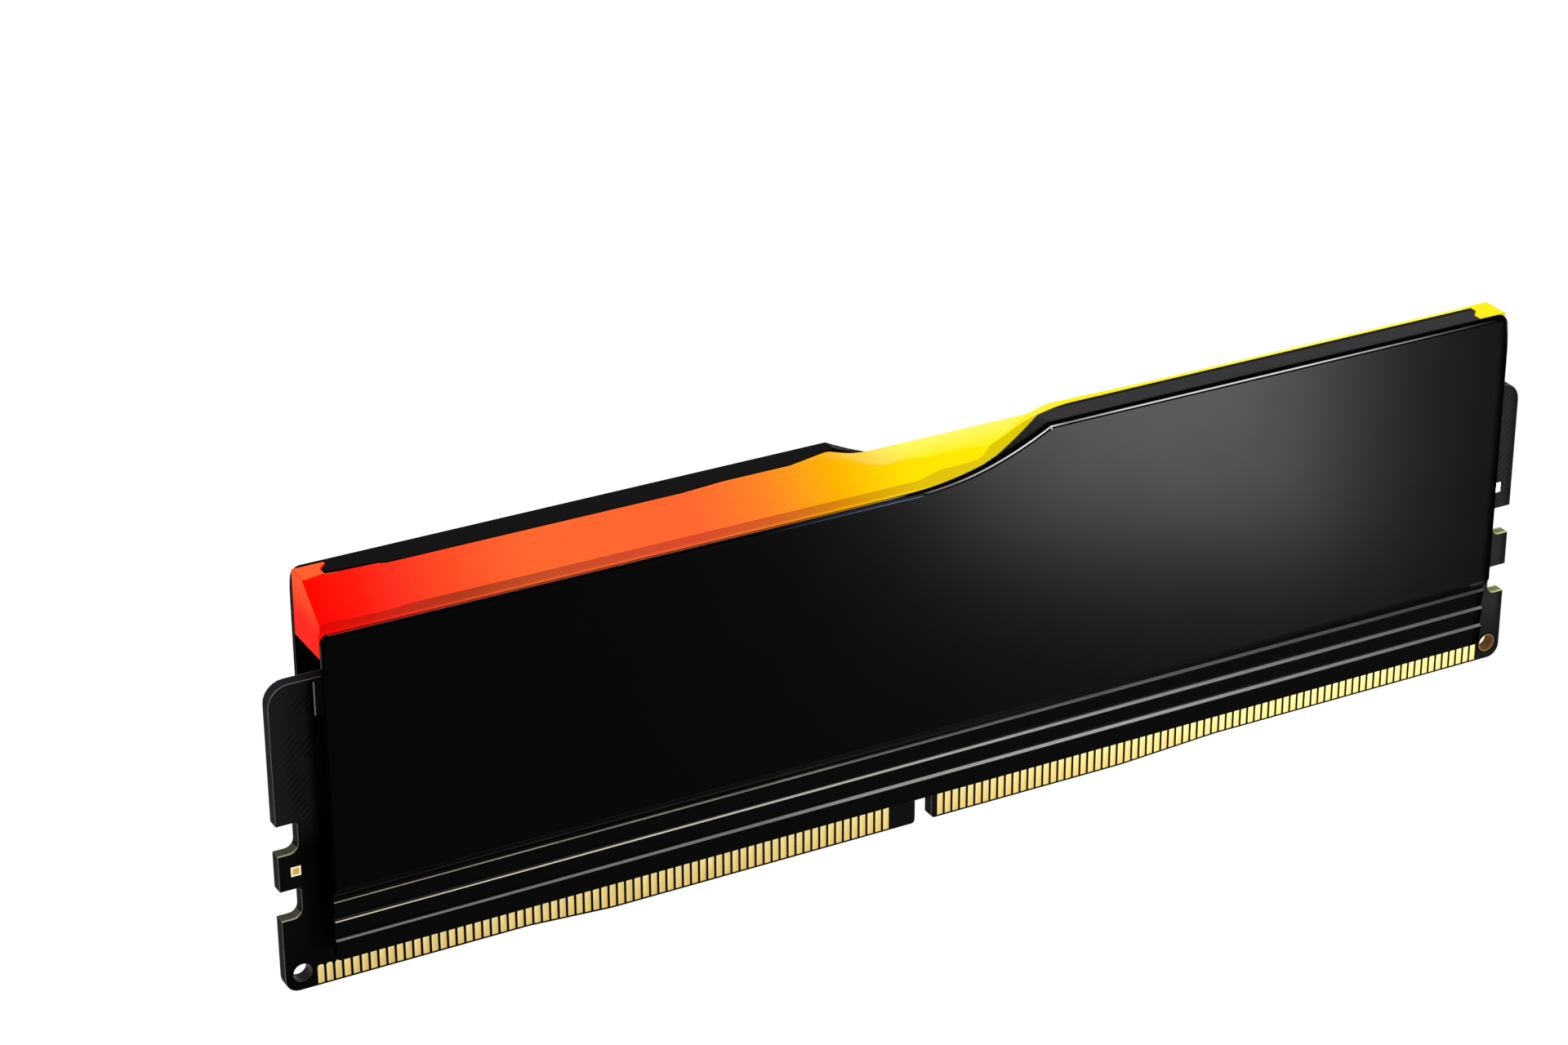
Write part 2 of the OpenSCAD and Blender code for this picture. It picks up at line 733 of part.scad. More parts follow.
// Saddle in the middle of the bar's top: straight across at its left end, leaning at its right end
module saddle_room() {
    lid = module_h + cut;
    left = saddle_left - saddle_left_ramp;
    right = saddle_right + saddle_right_ramp;
    seam = saddle_left + saddle_lean / 2;
    turn = atan(saddle_slant);
    side = right + 2 * face_y;
    along_y(-face_y, face_y)
        polygon(concat(
            [for (x = steps(left, saddle_left)) [x, saddle_z(share(x, saddle_left, left))]],
            [[seam + saddle_lean + cut, saddle_z(0)], [seam + saddle_lean + cut, lid], [left, lid]]
        ));
    rotate([0, 0, -turn])
        along_y(-side, side)
            polygon([
                for (p = concat(
                    [[seam, lid], [seam, saddle_z(0)]],
                    [for (x = steps(saddle_right, right)) [x, saddle_z(share(x, saddle_right, right))]],
                    [[right, lid]]
                )) [p[0] * cos(turn), p[1]]
            ]);
}

module light_bar() {
    color("#ff6a2b")
        union() {
            difference() {
                translate([-bar_half, -bar_side, bar_bottom_z])
                    cube([2 * bar_half, 2 * bar_side, module_h - bar_bottom_z]);
                sheet_room();
                at_back() sheet_room();
                slope_room(front_slope_sizes());
                at_back() slope_room(back_slope_sizes());
                flange_room(FRONT_FLANGE);
                at_back() flange_room(BACK_FLANGE);
                saddle_room();
            }
            translate([-foot_half, -foot_t / 2, board_h])
                cube([2 * foot_half, foot_t, foot_h + cut]);
        }
}

circuit_board();
front_contacts_left();
front_contacts_right();
back_contacts_left();
back_contacts_right();
left_hole_sleeve();
right_hole_sleeve();
gold_test_pad();
tinned_test_pad();
front_tape();
back_tape();
for (i = [1:chip_count]) {
    memory_chip(i);
    at_back() memory_chip(i);
}
for (i = [1:light_count])
    light(i);
power_chip();
for (i = [1:inductor_count])
    power_inductor(i);
identity_chip();
lighting_chip();
power_capacitors();
front_capacitors();
back_capacitors();
front_resistors();
back_resistors();
front_thermal_pad_left();
front_thermal_pad_right();
back_thermal_pad_left();
back_thermal_pad_right();
power_thermal_pad();
front_heat_spreader();
back_heat_spreader();
light_bar();
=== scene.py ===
import math

import bmesh
import bpy
from bpy.props import FloatProperty, FloatVectorProperty, IntProperty, PointerProperty
from mathutils import Matrix, Vector


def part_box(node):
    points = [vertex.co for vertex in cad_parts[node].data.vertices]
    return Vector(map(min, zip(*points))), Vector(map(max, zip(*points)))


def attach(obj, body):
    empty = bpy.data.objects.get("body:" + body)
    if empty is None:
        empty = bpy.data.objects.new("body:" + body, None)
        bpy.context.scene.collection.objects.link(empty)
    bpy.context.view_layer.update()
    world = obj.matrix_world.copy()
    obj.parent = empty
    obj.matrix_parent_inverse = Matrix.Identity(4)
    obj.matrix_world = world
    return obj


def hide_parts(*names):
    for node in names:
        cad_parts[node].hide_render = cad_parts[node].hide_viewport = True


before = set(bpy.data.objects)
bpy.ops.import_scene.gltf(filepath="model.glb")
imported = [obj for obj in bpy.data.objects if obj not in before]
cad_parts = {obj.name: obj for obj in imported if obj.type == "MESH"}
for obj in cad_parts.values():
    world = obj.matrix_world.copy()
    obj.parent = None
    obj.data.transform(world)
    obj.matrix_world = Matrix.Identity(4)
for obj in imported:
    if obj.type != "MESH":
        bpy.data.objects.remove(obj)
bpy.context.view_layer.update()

bl_info = {
    "name": "Memory module",
    "version": (1, 0, 0),
    "blender": (4, 5, 0),
    "location": "View3D > Sidebar > Memory module",
    "description": "Dresses a desktop memory module: board, contacts, heat spreaders and light bar",
    "category": "Add Mesh",
}

MM = 0.001
HALF_LENGTH = 62.5          # from the middle to an end of the spreaders and light bar, in millimetres
HALF_DEPTH = 3.5            # from the board's middle to a spreader's face, in millimetres
LINE_BLUR = 0.03            # how softly a bare line starts, in millimetres
WAVE_PITCH = 0.314          # a wave texture's scale times the distance between its bands
CLOUD_RANGE = (0.3, 0.7)    # values that a noise texture mostly keeps to
MERGE = 0.001 * MM          # corners nearer to each other than this become one
FLAT_ANGLE = math.radians(0.4)      # faces that bend less than this become one
EDGE_ANGLE = math.radians(20)       # edges that bend more than this are softened
SHARP_ANGLE = math.radians(40)      # edges that bend more than this are shaded as edges
SENSOR_WIDTH = 36.0         # of the camera, in millimetres
FLOOR_PAINT = (0.8, 0.8, 0.8)       # colour that the floor throws back on the module
FLOOR_SHADED = (0.3, 0.3, 0.3)      # part of the seen floor's white that takes shade
FLOOR_GLOW = 0.74                   # part of the seen floor's white that doesn't
# place, aim and size of the lamps, in metres
TOP_LAMP = ((0.15, -0.25, 0.85), (0.0, 0.0, 0.02), (0.9, 0.7))
FRONT_LAMP = ((0.2529, -0.3530, -0.1306), (0.0247, -0.0035, 0.0387), (0.0736, 0.0825))


def tone(red, green, blue):
    """A colour as read off a screen, 0 to 255, as the linear colour that a shader takes."""
    parts = (red / 255, green / 255, blue / 255)
    return tuple(p / 12.92 if p <= 0.04045 else ((p + 0.055) / 1.055) ** 2.4 for p in parts)


def length(name, description, millimetres):
    """A length for a group of settings."""
    return FloatProperty(name=name, description=description, default=millimetres * MM,
                         unit="LENGTH", precision=5)


def colour(name, description, red, green, blue):
    """A colour for a group of settings."""
    return FloatVectorProperty(name=name, description=description, subtype="COLOR",
                               min=0.0, max=1.0, default=tone(red, green, blue))


# Sizes and colours

class ContactSettings(bpy.types.PropertyGroup):
    """Gold contacts along the lower edge"""
    count_left: IntProperty(name="Contacts left", description="Contacts left of the key slot", default=69)
    count_right: IntProperty(name="Contacts right", description="Contacts right of the key slot", default=75)
    skipped: IntProperty(name="Places skipped", description="Empty places at the key slot", default=6)
    pitch: length("Pitch", "Distance from one contact to the next", 0.85)
    width: length("Width", "Width of a contact", 0.6)
    top: length("Top", "Height of the contacts' upper ends", 2.68)
    foot_gap: length("Foot gap", "Bare board below each contact", 0.25)
    corner: length("Corner", "Radius of the upper corners", 0.26)
    plating: length("Plating", "How far the contacts stand off the board", 0.05)
    edge_rise: length("Edge rise", "How much higher the board's edge is at its ends", 0.55)
    left_high: length("Left ramp, high end", "Where the left ramp of the edge starts", -42.925)
    left_low: length("Left ramp, low end", "Where the left ramp of the edge ends", -34.425)
    right_low: length("Right ramp, low end", "Where the right ramp of the edge starts", 20.875)
    right_high: length("Right ramp, high end", "Where the right ramp of the edge ends", 31.875)
    # Contacts: the paler upper end and pale upper left are painted highlights, the deeper lower right is
    # painted shade, and the gold is painted lighter towards the right end
    tip_highlight: length("Tip", "Height of the paler upper end of a contact", 0.35)
    gold_left: colour("Gold, left", "Plating at the left end", 230, 206, 118)
    gold_right: colour("Gold, right", "Plating at the right end", 252, 238, 150)
    gold_highlight: colour("Gold, pale", "Upper left of each contact", 255, 244, 196)
    gold_deep: colour("Gold, deep", "Tint of each contact's lower right", 240, 218, 170)


class BoardSettings(bpy.types.PropertyGroup):
    """Circuit board with its holes, pads and tape"""
    edge_soft: length("Edge softness", "Width of the worn edge of the board", 0.04)
    trace_pitch: length("Trace pitch", "Distance between the traces under the lacquer", 0.5)
    layer_pitch: length("Layer pitch", "Distance between the layers of the board", 0.21)
    bare_ring: length("Bare ring", "Bare metal round the corner holes", 0.08)
    hole_ring: length("Hole ring", "Plated ring round the corner holes", 0.24)
    # the three lacquer colours are painted light and shade on one lacquer: lighter on the upper left tab and
    # at the right end, dark on the lower left tabs
    lacquer_high: colour("Lacquer, left tab", "Lacquer on the upper left tab", 25, 25, 26)
    lacquer_low: colour("Lacquer, lower left", "Lacquer on the lower left tabs", 4, 4, 5)
    lacquer_right: colour("Lacquer, right", "Lacquer at the right end", 37, 37, 38)
    # the left fibre edges are painted darker than the right as shade, and the paler lines along their
    # corners are painted highlights
    fibre_left: colour("Fibre, left", "Cut edge of the notches at the left end", 76, 75, 58)
    fibre_line: colour("Fibre line, left", "Near corner of the cut edge at the left end", 184, 184, 164)
    fibre_right: colour("Fibre, right", "Cut edge of the notches at the right end", 128, 138, 86)
    fibre_rim: colour("Fibre lines, right", "Corners of the cut edge at the right end", 212, 222, 164)
    top_edge: colour("Top edge", "Cut edge along the top of the board", 26, 26, 30)
    # the paler lines along the top edge's corners are painted highlights
    top_line: colour("Top edge lines", "Worn corners of the top edge", 104, 104, 116)
    # the black of the upright cut ends is painted shade, and their paler near corner a painted highlight
    cut_end: colour("Cut ends", "Upright cut edges of the board", 6, 6, 7)
    cut_line: colour("Cut end line", "Near corner of the upright cut edges", 104, 104, 94)
    # the hole walls are painted darker than the rings as shade inside the bore, and the right hole lighter
    # than the left as painted light
    wall_left: colour("Hole wall, left", "Wall of the left corner hole", 30, 26, 20)
    wall_right: colour("Hole wall, right", "Wall of the right corner hole", 132, 92, 44)
    ring_left: colour("Hole ring, left", "Bare ring of the left corner hole", 58, 52, 44)
    ring_right: colour("Hole ring, right", "Bare ring of the right corner hole", 176, 144, 86)
    gold: colour("Gold pad", "Border of the left pad", 254, 240, 196)
    gold_deep: colour("Gold pad, middle", "Middle of the left pad", 206, 168, 92)
    tin: colour("Tin pad", "Plating of the right pad", 247, 247, 236)
    tape: colour("Tape", "Face of the tape beside the spreader", 16, 16, 17)
    tape_end: colour("Tape end", "Cut end of the tape", 150, 150, 160)


class SpreaderSettings(bpy.types.PropertyGroup):
    """Sheet heat spreaders"""
    rim: length("Rim", "Rounding of the bend along the upper edge", 0.56)
    rim_low: length("Rim, low half", "Rounding of the bend along the low half", 0.3)
    # the bare line on the bend is a painted highlight
    rim_line: length("Rim line", "How far the bare line reaches round the bend", 0.13)
    edge: length("Edge", "Width of the other softened edges", 0.05)
    # the bare line along the back sheet's edge is a painted highlight
    painted_back_edge_highlight: length("Worn edge", "Width of the bare line along the back sheet's edge", 0.13)
    sheet: colour("Sheet", "Black finish of the sheet", 4, 4, 4)
    # the lighter flange colour is a painted sheen on top of the front flange
    flange: colour("Flange", "Worn black finish on top of the front flange", 46, 46, 48)
    # the rim colours set how bright the painted highlight along the upper bend is at each place
    bright: colour("Bright rim", "Bare metal along the upper rim", 240, 240, 241)
    middling: colour("Middling rim", "Rim at the end of the wave", 140, 139, 136)
    dim: colour("Dim rim", "Rim before the wave", 44, 50, 66)
    faint: colour("Faint rim", "Rim towards the far end", 98, 98, 99)
    ledge: colour("Upper edge", "Bare upper edge in front of the light bar", 240, 228, 220)
    # the back line colour is a painted highlight
    bare: colour("Back line", "Bare line along the back sheet's edge", 130, 130, 136)
    # the rib ledge colours set how bright the painted highlight on the ribs is at each place
    ledge_left: colour("Rib ledges, left", "Bare metal on the upper ribs, left", 210, 202, 184)
    ledge_right: colour("Rib ledges, right", "Bare metal on the ribs, right", 156, 156, 156)
    ledge_far: colour("Rib ledges, far right", "Bare metal on the ribs at the right end", 104, 104, 105)
    ledge_low: colour("Lowest ledge", "Bare metal on the lowest rib", 102, 102, 102)
    roughness: FloatProperty(name="Roughness", description="Roughness of the black finish",
                             default=0.162, min=0.0, max=1.0, subtype="FACTOR")


class LightBarSettings(bpy.types.PropertyGroup):
    """Light bar and its glow"""
    edge: length("Edge", "Width of the softened edges", 0.12)
    end: colour("Glow, end", "Light at the left end", 255, 7, 2)
    near: colour("Glow, near the end", "Light beside the left end", 254, 27, 14)
    left: colour("Glow, left", "Light at the start of the left half", 254, 48, 31)
    middle: colour("Glow, middle", "Light on the left half", 254, 103, 47)
    warm: colour("Glow, warm", "Light before the turn to yellow", 254, 130, 38)
    turn: colour("Glow, turn", "Light where orange turns to yellow", 255, 176, 2)
    right: colour("Glow, right", "Light on the right half", 254, 226, 3)
    # the end face, top and saddle colours are painted light: tops paler than the slope as a painted
    # highlight, the end face's foot darker as painted shade
    end_high: colour("End face, top", "Light of the end face at its top", 255, 90, 42)
    end_low: colour("End face, foot", "Light of the end face at its foot", 255, 36, 22)
    cap: colour("Top, left", "Light of the top at the left end", 254, 95, 44)
    pale: colour("Saddle", "Light of the saddle's left ramp", 254, 222, 84)
    lemon: colour("Top, near edge", "Light of the top along its near edge", 253, 239, 20)
    crest: colour("Top, far edge", "Light of the top along its far edge", 252, 248, 105)
    strip: colour("Top, right", "Light of the top beside the flange", 253, 249, 106)


class PartSettings(bpy.types.PropertyGroup):
    """Parts between the spreaders"""
    package: colour("Chips", "Moulded chip packages", 44, 44, 46)
    ferrite: colour("Inductors", "Pressed ferrite", 92, 92, 95)
    lens: colour("Lights", "Lens of the lights", 238, 226, 160)
    ceramic: colour("Capacitors", "Ceramic body", 168, 132, 96)
    resistor: colour("Resistors", "Glazed resistor body", 36, 36, 40)
    foam: colour("Thermal pads", "Soft thermal pad", 128, 134, 142)


class StageSettings(bpy.types.PropertyGroup):
    """Camera, floor and light"""
    camera: FloatVectorProperty(name="Camera", description="Where the camera stands", subtype="TRANSLATION",
                                default=(-0.174972, -0.294278, 0.198746), precision=5)
    azimuth: FloatProperty(name="Azimuth", description="Camera's turn about the upright", subtype="ANGLE",
                           default=math.radians(-28.3755))
    elevation: FloatProperty(name="Elevation", description="Camera's angle above the horizon",
                             subtype="ANGLE", default=math.radians(26.0995))
    roll: FloatProperty(name="Roll", description="Camera's turn about its own axis", subtype="ANGLE",
                        default=math.radians(-0.2271))
    lens: FloatProperty(name="Lens", description="Focal length on a 36 mm wide sensor", default=94.611,
                        unit="CAMERA")
    floor: length("Floor", "Height of the floor", -320)
    floor_half: length("Floor size", "Half the width of the floor", 2500)
    sky: FloatProperty(name="Sky", description="Light from all round", default=0.85, min=0.0)
    top_power: FloatProperty(name="Top lamp", description="Power of the lamp above", default=2.6,
                             unit="POWER")
    front_power: FloatProperty(name="Front lamp", description="Power of the lamp in front", default=1.55,
                               unit="POWER")


# Nodes of the finishes

def add(tree, kind, inputs=None, **settings):
    """A new node; inputs are values or other nodes' outputs, by socket name or number."""
    node = tree.nodes.new(kind)
    for key, value in settings.items():
        setattr(node, key, value)
    for key, value in (inputs or {}).items():
        put(tree, node.inputs[key], value)
    return node


def put(tree, socket, value):
    """Sets a socket to a value, or links another node's output to it."""
    if isinstance(value, bpy.types.NodeSocket):
        tree.links.new(value, socket)
    elif socket.type == "RGBA" and len(value) == 3:
        socket.default_value = (*value, 1.0)
    else:
        socket.default_value = value


def coat(tree, shader, **looks):
    """Sets sockets of a shader, each named with _ for a space."""
    for name, value in looks.items():
        put(tree, shader.inputs[name.replace("_", " ")], value)


def finish(name, **looks):
    """A new material with one shader; looks are what is the same all over it."""
    material = bpy.data.materials.new(name)
    material.use_nodes = True
    tree = material.node_tree
    tree.nodes.clear()
    shader = add(tree, "ShaderNodeBsdfPrincipled")
    coat(tree, shader, **looks)
    add(tree, "ShaderNodeOutputMaterial", {"Surface": shader.outputs["BSDF"]})
    return material, tree, shader


def place(tree, turn=0.0):
    """Place on the piece, in metres, turned about the upright."""
    point = add(tree, "ShaderNodeTexCoord").outputs["Object"]
    return add(tree, "ShaderNodeMapping", {"Vector": point, "Rotation": (0, 0, turn)}).outputs["Vector"]


def axes(tree, vector, letters):
    """Parts of a vector along the axes with these letters."""
    parts = add(tree, "ShaderNodeSeparateXYZ", {"Vector": vector}).outputs
    return [parts[letter] for letter in letters]


def facing(tree, letter):
    """How far a surface faces along the axis with this letter, from -1 to 1."""
    return axes(tree, add(tree, "ShaderNodeNewGeometry").outputs["Normal"], letter)[0]


def noise(tree, point, grain, detail=2.0, stretch=(1, 1, 1)):
    """Cloudy pattern; grain is the size of one cloud in millimetres."""
    if stretch != (1, 1, 1):
        point = add(tree, "ShaderNodeMapping", {"Vector": point, "Scale": stretch}).outputs["Vector"]
    values = {"Vector": point, "Scale": 1 / (grain * MM), "Detail": detail, "Roughness": 0.55}
    return add(tree, "ShaderNodeTexNoise", values).outputs["Fac"]


def spread(tree, value, start, end, low=0.0, high=1.0, smooth=False):
    """Value taken from the range start to end, to the range low to high."""
    values = {"Value": value, "From Min": start, "From Max": end, "To Min": low, "To Max": high}
    kind = "SMOOTHSTEP" if smooth else "LINEAR"
    return add(tree, "ShaderNodeMapRange", values, interpolation_type=kind).outputs["Result"]


def span(tree, distance, start, end, low=0.0, high=1.0, smooth=False):
    """Distance taken from the range start to end, in millimetres, to the range low to high."""
    return spread(tree, distance, start * MM, end * MM, low, high, smooth)


def clouds(tree, pattern, low=0.0, high=1.0):
    """Cloudy pattern taken to the range low to high."""
    return spread(tree, pattern, *CLOUD_RANGE, low, high)


def maths(tree, operation, first, second=0.0):
    """One sum of two values."""
    return add(tree, "ShaderNodeMath", {0: first, 1: second}, operation=operation).outputs["Value"]


def times(tree, first, *others):
    """Values multiplied with each other."""
    for other in others:
        first = maths(tree, "MULTIPLY", first, other)
    return first


def either_way(tree, value):
    """Distance from the middle to either side."""
    return maths(tree, "ABSOLUTE", value)


def outermost(tree, out, width):
    """1 on a spreader's outermost strip of this width, and 0 further in."""
    return spread(tree, out, HALF_DEPTH * MM - width, (HALF_DEPTH + LINE_BLUR) * MM - width)


def mixed(tree, factor, first, second, blend="MIX"):
    """First colour at factor 0, second colour at factor 1."""
    node = add(tree, "ShaderNodeMix", data_type="RGBA", blend_type=blend)
    for number, value in ((0, factor), (6, first), (7, second)):
        put(tree, node.inputs[number], value)
    return node.outputs[2]


def tinted(tree, shade, tint):
    """One colour times another."""
    return mixed(tree, 1.0, shade, tint, "MULTIPLY")


def dimmed(tree, shade, level):
    """Colour times a level that differs from place to place."""
    grey = add(tree, "ShaderNodeCombineXYZ", {"X": level, "Y": level, "Z": level}).outputs["Vector"]
    return tinted(tree, shade, grey)


def ramp(tree, along, *stops):
    """Colours along the module; a stop is a place in millimetres from the middle, and its colour."""
    node = add(tree, "ShaderNodeValToRGB", {"Fac": span(tree, along, -HALF_LENGTH, HALF_LENGTH)})
    while len(node.color_ramp.elements) < len(stops):
        node.color_ramp.elements.new(0.5)
    for element, (at, shade) in zip(node.color_ramp.elements, stops):
        element.position = 0.5 + at / (2 * HALF_LENGTH)
        element.color = (*shade, 1.0)
    return node.outputs["Color"]


def attribute(tree, name):
    """Value that the piece's mesh holds under this name."""
    return add(tree, "ShaderNodeAttribute", attribute_name=name).outputs["Fac"]


def relief(tree, shader, height, depth, strength, under=None):
    """Bump of the given depth in millimetres, over another bump where there is one."""
    values = {"Height": height, "Distance": depth * MM, "Strength": strength}
    if under is not None:
        values["Normal"] = under
    normal = add(tree, "ShaderNodeBump", values).outputs["Normal"]
    put(tree, shader.inputs["Normal"], normal)
    return normal


def scaled(shade, factor):
    """Colour made lighter or darker."""
    return tuple(min(1.0, part * factor) for part in shade)


def grained(name, shade, grain, contrast, rough, depth, **looks):
    """Plain finish with grain in its colour, gloss and surface."""
    material, tree, shader = finish(name, **looks)
    point = place(tree)
    fine = noise(tree, point, grain)
    broad = noise(tree, point, grain * 30, 3.0)
    both = clouds(tree, maths(tree, "ADD", times(tree, fine, 0.6), times(tree, broad, 0.4)))
    coat(tree, shader, Roughness=clouds(tree, broad, *rough),
         Base_Color=mixed(tree, both, scaled(shade, 1 - contrast), scaled(shade, 1 + contrast)))
    relief(tree, shader, fine, depth, 0.5)
    return material


def sheet_finish(settings):
    """Black anodised sheet: fine grain, faint clouds in its gloss, a painted sheen on top of the front
    flange and a bare line along the back sheet's edge as a painted highlight.
    """
    material, tree, shader = finish("black_sheet")
    point = place(tree)
    along, across, height = axes(tree, point, "XYZ")
    fine = noise(tree, point, 0.09)
    broad = noise(tree, point, 6, 3.0)
    upward = spread(tree, facing(tree, "Z"), 0.7, 0.9)
    not_backward = spread(tree, facing(tree, "Y"), 0.9, 0.7)
    right_half = span(tree, along, 3, 11)
    behind_bend = span(tree, across, -3.4, -2.5, 0.3, 1.0)
    front_half = span(tree, across, -0.8, -0.6, 1.0, 0.0)
    # painted sheen: the top of the front flange is coloured lighter than the black face
    flange = times(tree, upward, right_half, behind_bend, front_half)
    upper_part = span(tree, height, 24, 32)
    # painted highlight: a bare metal line along the back sheet's upper edge
    painted_back_edge_highlight = times(tree, not_backward, outermost(tree, across, settings.painted_back_edge_highlight), upper_part)
    black = mixed(tree, clouds(tree, fine), scaled(settings.sheet, 0.55), scaled(settings.sheet, 1.3))
    black = mixed(tree, flange, black, settings.flange)
    gloss = span(tree, along, 61.2, 62.2, 0.014, 0.001, True)
    less_on_top = spread(tree, upward, 0.0, 1.0, 1.0, 0.5)
    coat(tree, shader, Base_Color=mixed(tree, painted_back_edge_highlight, black, settings.bare), Metallic=painted_back_edge_highlight,
         Specular_IOR_Level=times(tree, gloss, less_on_top),
         Roughness=clouds(tree, broad, settings.roughness - 0.006, settings.roughness + 0.006))
    relief(tree, shader, fine, 0.004, 0.1)
    return material


def rim_finish(name, settings, turn):
    """Bend along a spreader's upper edge: a bare line low on it that is a painted highlight, brighter or
    dimmer along the module, and bare metal beside the light bar.
    """
    material, tree, shader = finish(name, Specular_IOR_Level=0.0)
    point = place(tree, turn)
    along, across, height = axes(tree, point, "XYZ")
    black, bright, middling, dim = settings.sheet, settings.bright, settings.middling, settings.dim
    # painted highlight: how bright the bare line is at each place along the module
    metal = ramp(tree, along, (-20, black), (-12, scaled(dim, 0.5)), (-7, scaled(dim, 0.8)),
                 (-3.4, scaled(dim, 0.6)), (-2.8, scaled(middling, 0.55)), (0, scaled(middling, 0.8)),
                 (2, scaled(bright, 0.48)), (7.5, bright), (10, scaled(bright, 0.82)), (12, middling),
                 (18, scaled(bright, 0.76)), (38, scaled(bright, 0.88)), (46, scaled(bright, 0.42)),
                 (54, settings.faint), (61, black))
    wear = noise(tree, point, 1.5, 3.0)
    upper_edge = span(tree, height, 35.2, 36)
    line = times(tree, outermost(tree, either_way(tree, across), settings.rim_line),
                 clouds(tree, wear, 0.9, 1.0), upper_edge)
    left_half = span(tree, along, -8, -5, 1.0, 0.0)
    level_top = spread(tree, facing(tree, "Z"), 0.975, 0.99)
    ledge = times(tree, level_top, left_half)
    coat(tree, shader, Base_Color=mixed(tree, ledge, mixed(tree, line, black, metal), settings.ledge),
         Metallic=maths(tree, "MAXIMUM", line, ledge),
         Roughness=maths(tree, "SUBTRACT", clouds(tree, wear, 0.24, 0.34), times(tree, ledge, 0.2)))
    return material


def ledge_finish(settings):
    """Bare metal on top of the ribs, a thin line at the left that widens to the right, a little uneven; its
    width and brightness along the ribs are a painted highlight.
    """
    material, tree, shader = finish("rib_ledge", Specular_IOR_Level=0.1)
    point = place(tree)
    along, across, height = axes(tree, point, "XYZ")
    streak = noise(tree, point, 2.5, 3.0, (0.25, 1, 1))
    # painted highlight: the line's width and brightness change along the module, and the lowest rib at the
    # left and the topmost rib at the right are painted dimmer
    lowest = span(tree, height, 6.6, 7.2, 1.0, 0.0)
    topmost = span(tree, height, 9.0, 9.4)
    painted_dim_top_rib = times(tree, topmost, span(tree, along, 0, 35))
    highlight_from = spread(tree, along, -50 * MM, 50 * MM, 2.68 * MM, 2.42 * MM)
    highlight_from = maths(tree, "SUBTRACT", highlight_from, times(tree, lowest, 0.1 * MM))
    past = maths(tree, "SUBTRACT", either_way(tree, across), highlight_from)
    bare = span(tree, past, 0, 0.08, 0.03, 1.0, True)
    metal = ramp(tree, along, (-50, settings.ledge_left), (12.5, settings.ledge_right),
                 (60, settings.ledge_far))
    left_half = span(tree, along, -20, 20, 1.0, 0.0)
    metal = mixed(tree, times(tree, lowest, left_half), metal, settings.ledge_low)
    dull = maths(tree, "MAXIMUM", clouds(tree, streak, 0.22, 0.0), times(tree, painted_dim_top_rib, 0.3))
    metal = mixed(tree, dull, metal, settings.sheet)
    coat(tree, shader, Base_Color=mixed(tree, bare, settings.sheet, metal),
         Metallic=maths(tree, "SUBTRACT", 1.0, painted_dim_top_rib), Roughness=clouds(tree, streak, 0.3, 0.42))
    return material


def lacquer_finish(settings):
    """Black lacquer over slanting traces; painted shade darkens it beside the spreaders, between the
    contacts and at the right end, and its lighter upper left tab and right end and dark lower left tabs are
    painted light and shade.
    """
    material, tree, shader = finish("solder_mask", Specular_IOR_Level=0.015)
    point = place(tree)
    along, height = axes(tree, point, "XZ")
    fine = noise(tree, point, 0.12)
    slant = add(tree, "ShaderNodeMapping", {"Vector": point, "Rotation": (0, math.radians(-48), 0)})
    traces = add(tree, "ShaderNodeTexWave",
                 {"Vector": slant.outputs["Vector"], "Scale": WAVE_PITCH / settings.trace_pitch,
                  "Distortion": 0.0}, bands_direction="X", wave_profile="SIN").outputs["Fac"]
    fields = spread(tree, noise(tree, point, 3.5, 1.0), 0.42, 0.5, 0.3, 1.0, True)
    inside_left_end = span(tree, along, -65.8, -65, 0.2, 1.0)
    upper_tab = span(tree, height, 16, 19, 0.15, 1.0)
    lines = times(tree, spread(tree, traces, 0.35, 0.65, 0.0, 1.0, True), fields, inside_left_end, upper_tab)
    # painted light and shade: the upper left tab and the right end lighter, the lower left tabs dark
    left = mixed(tree, span(tree, height, 15, 18), settings.lacquer_low, settings.lacquer_high)
    shade = mixed(tree, span(tree, along, -20, 20), left, settings.lacquer_right)
    # painted shade beside the spreaders, between and above the contacts, and along the right end
    painted_shade_by_sheet = span(tree, either_way(tree, along), 62.6, 63.4, 0.12, 1.0)
    painted_shade_by_contacts = span(tree, height, 3.0, 7.0, 0.1, 1.0)
    painted_shade_at_right_end = span(tree, along, 65.7, 66.3, 1.0, 0.15)
    level = times(tree, painted_shade_by_sheet, painted_shade_by_contacts, painted_shade_at_right_end,
                  spread(tree, lines, 0.0, 1.0, 1.1, 0.6), clouds(tree, fine, 1.1, 0.8))
    coat(tree, shader, Base_Color=dimmed(tree, shade, level), Roughness=clouds(tree, fine, 0.38, 0.46))
    relief(tree, shader, fine, 0.004, 0.3, relief(tree, shader, lines, 0.015, 0.3))
    return material


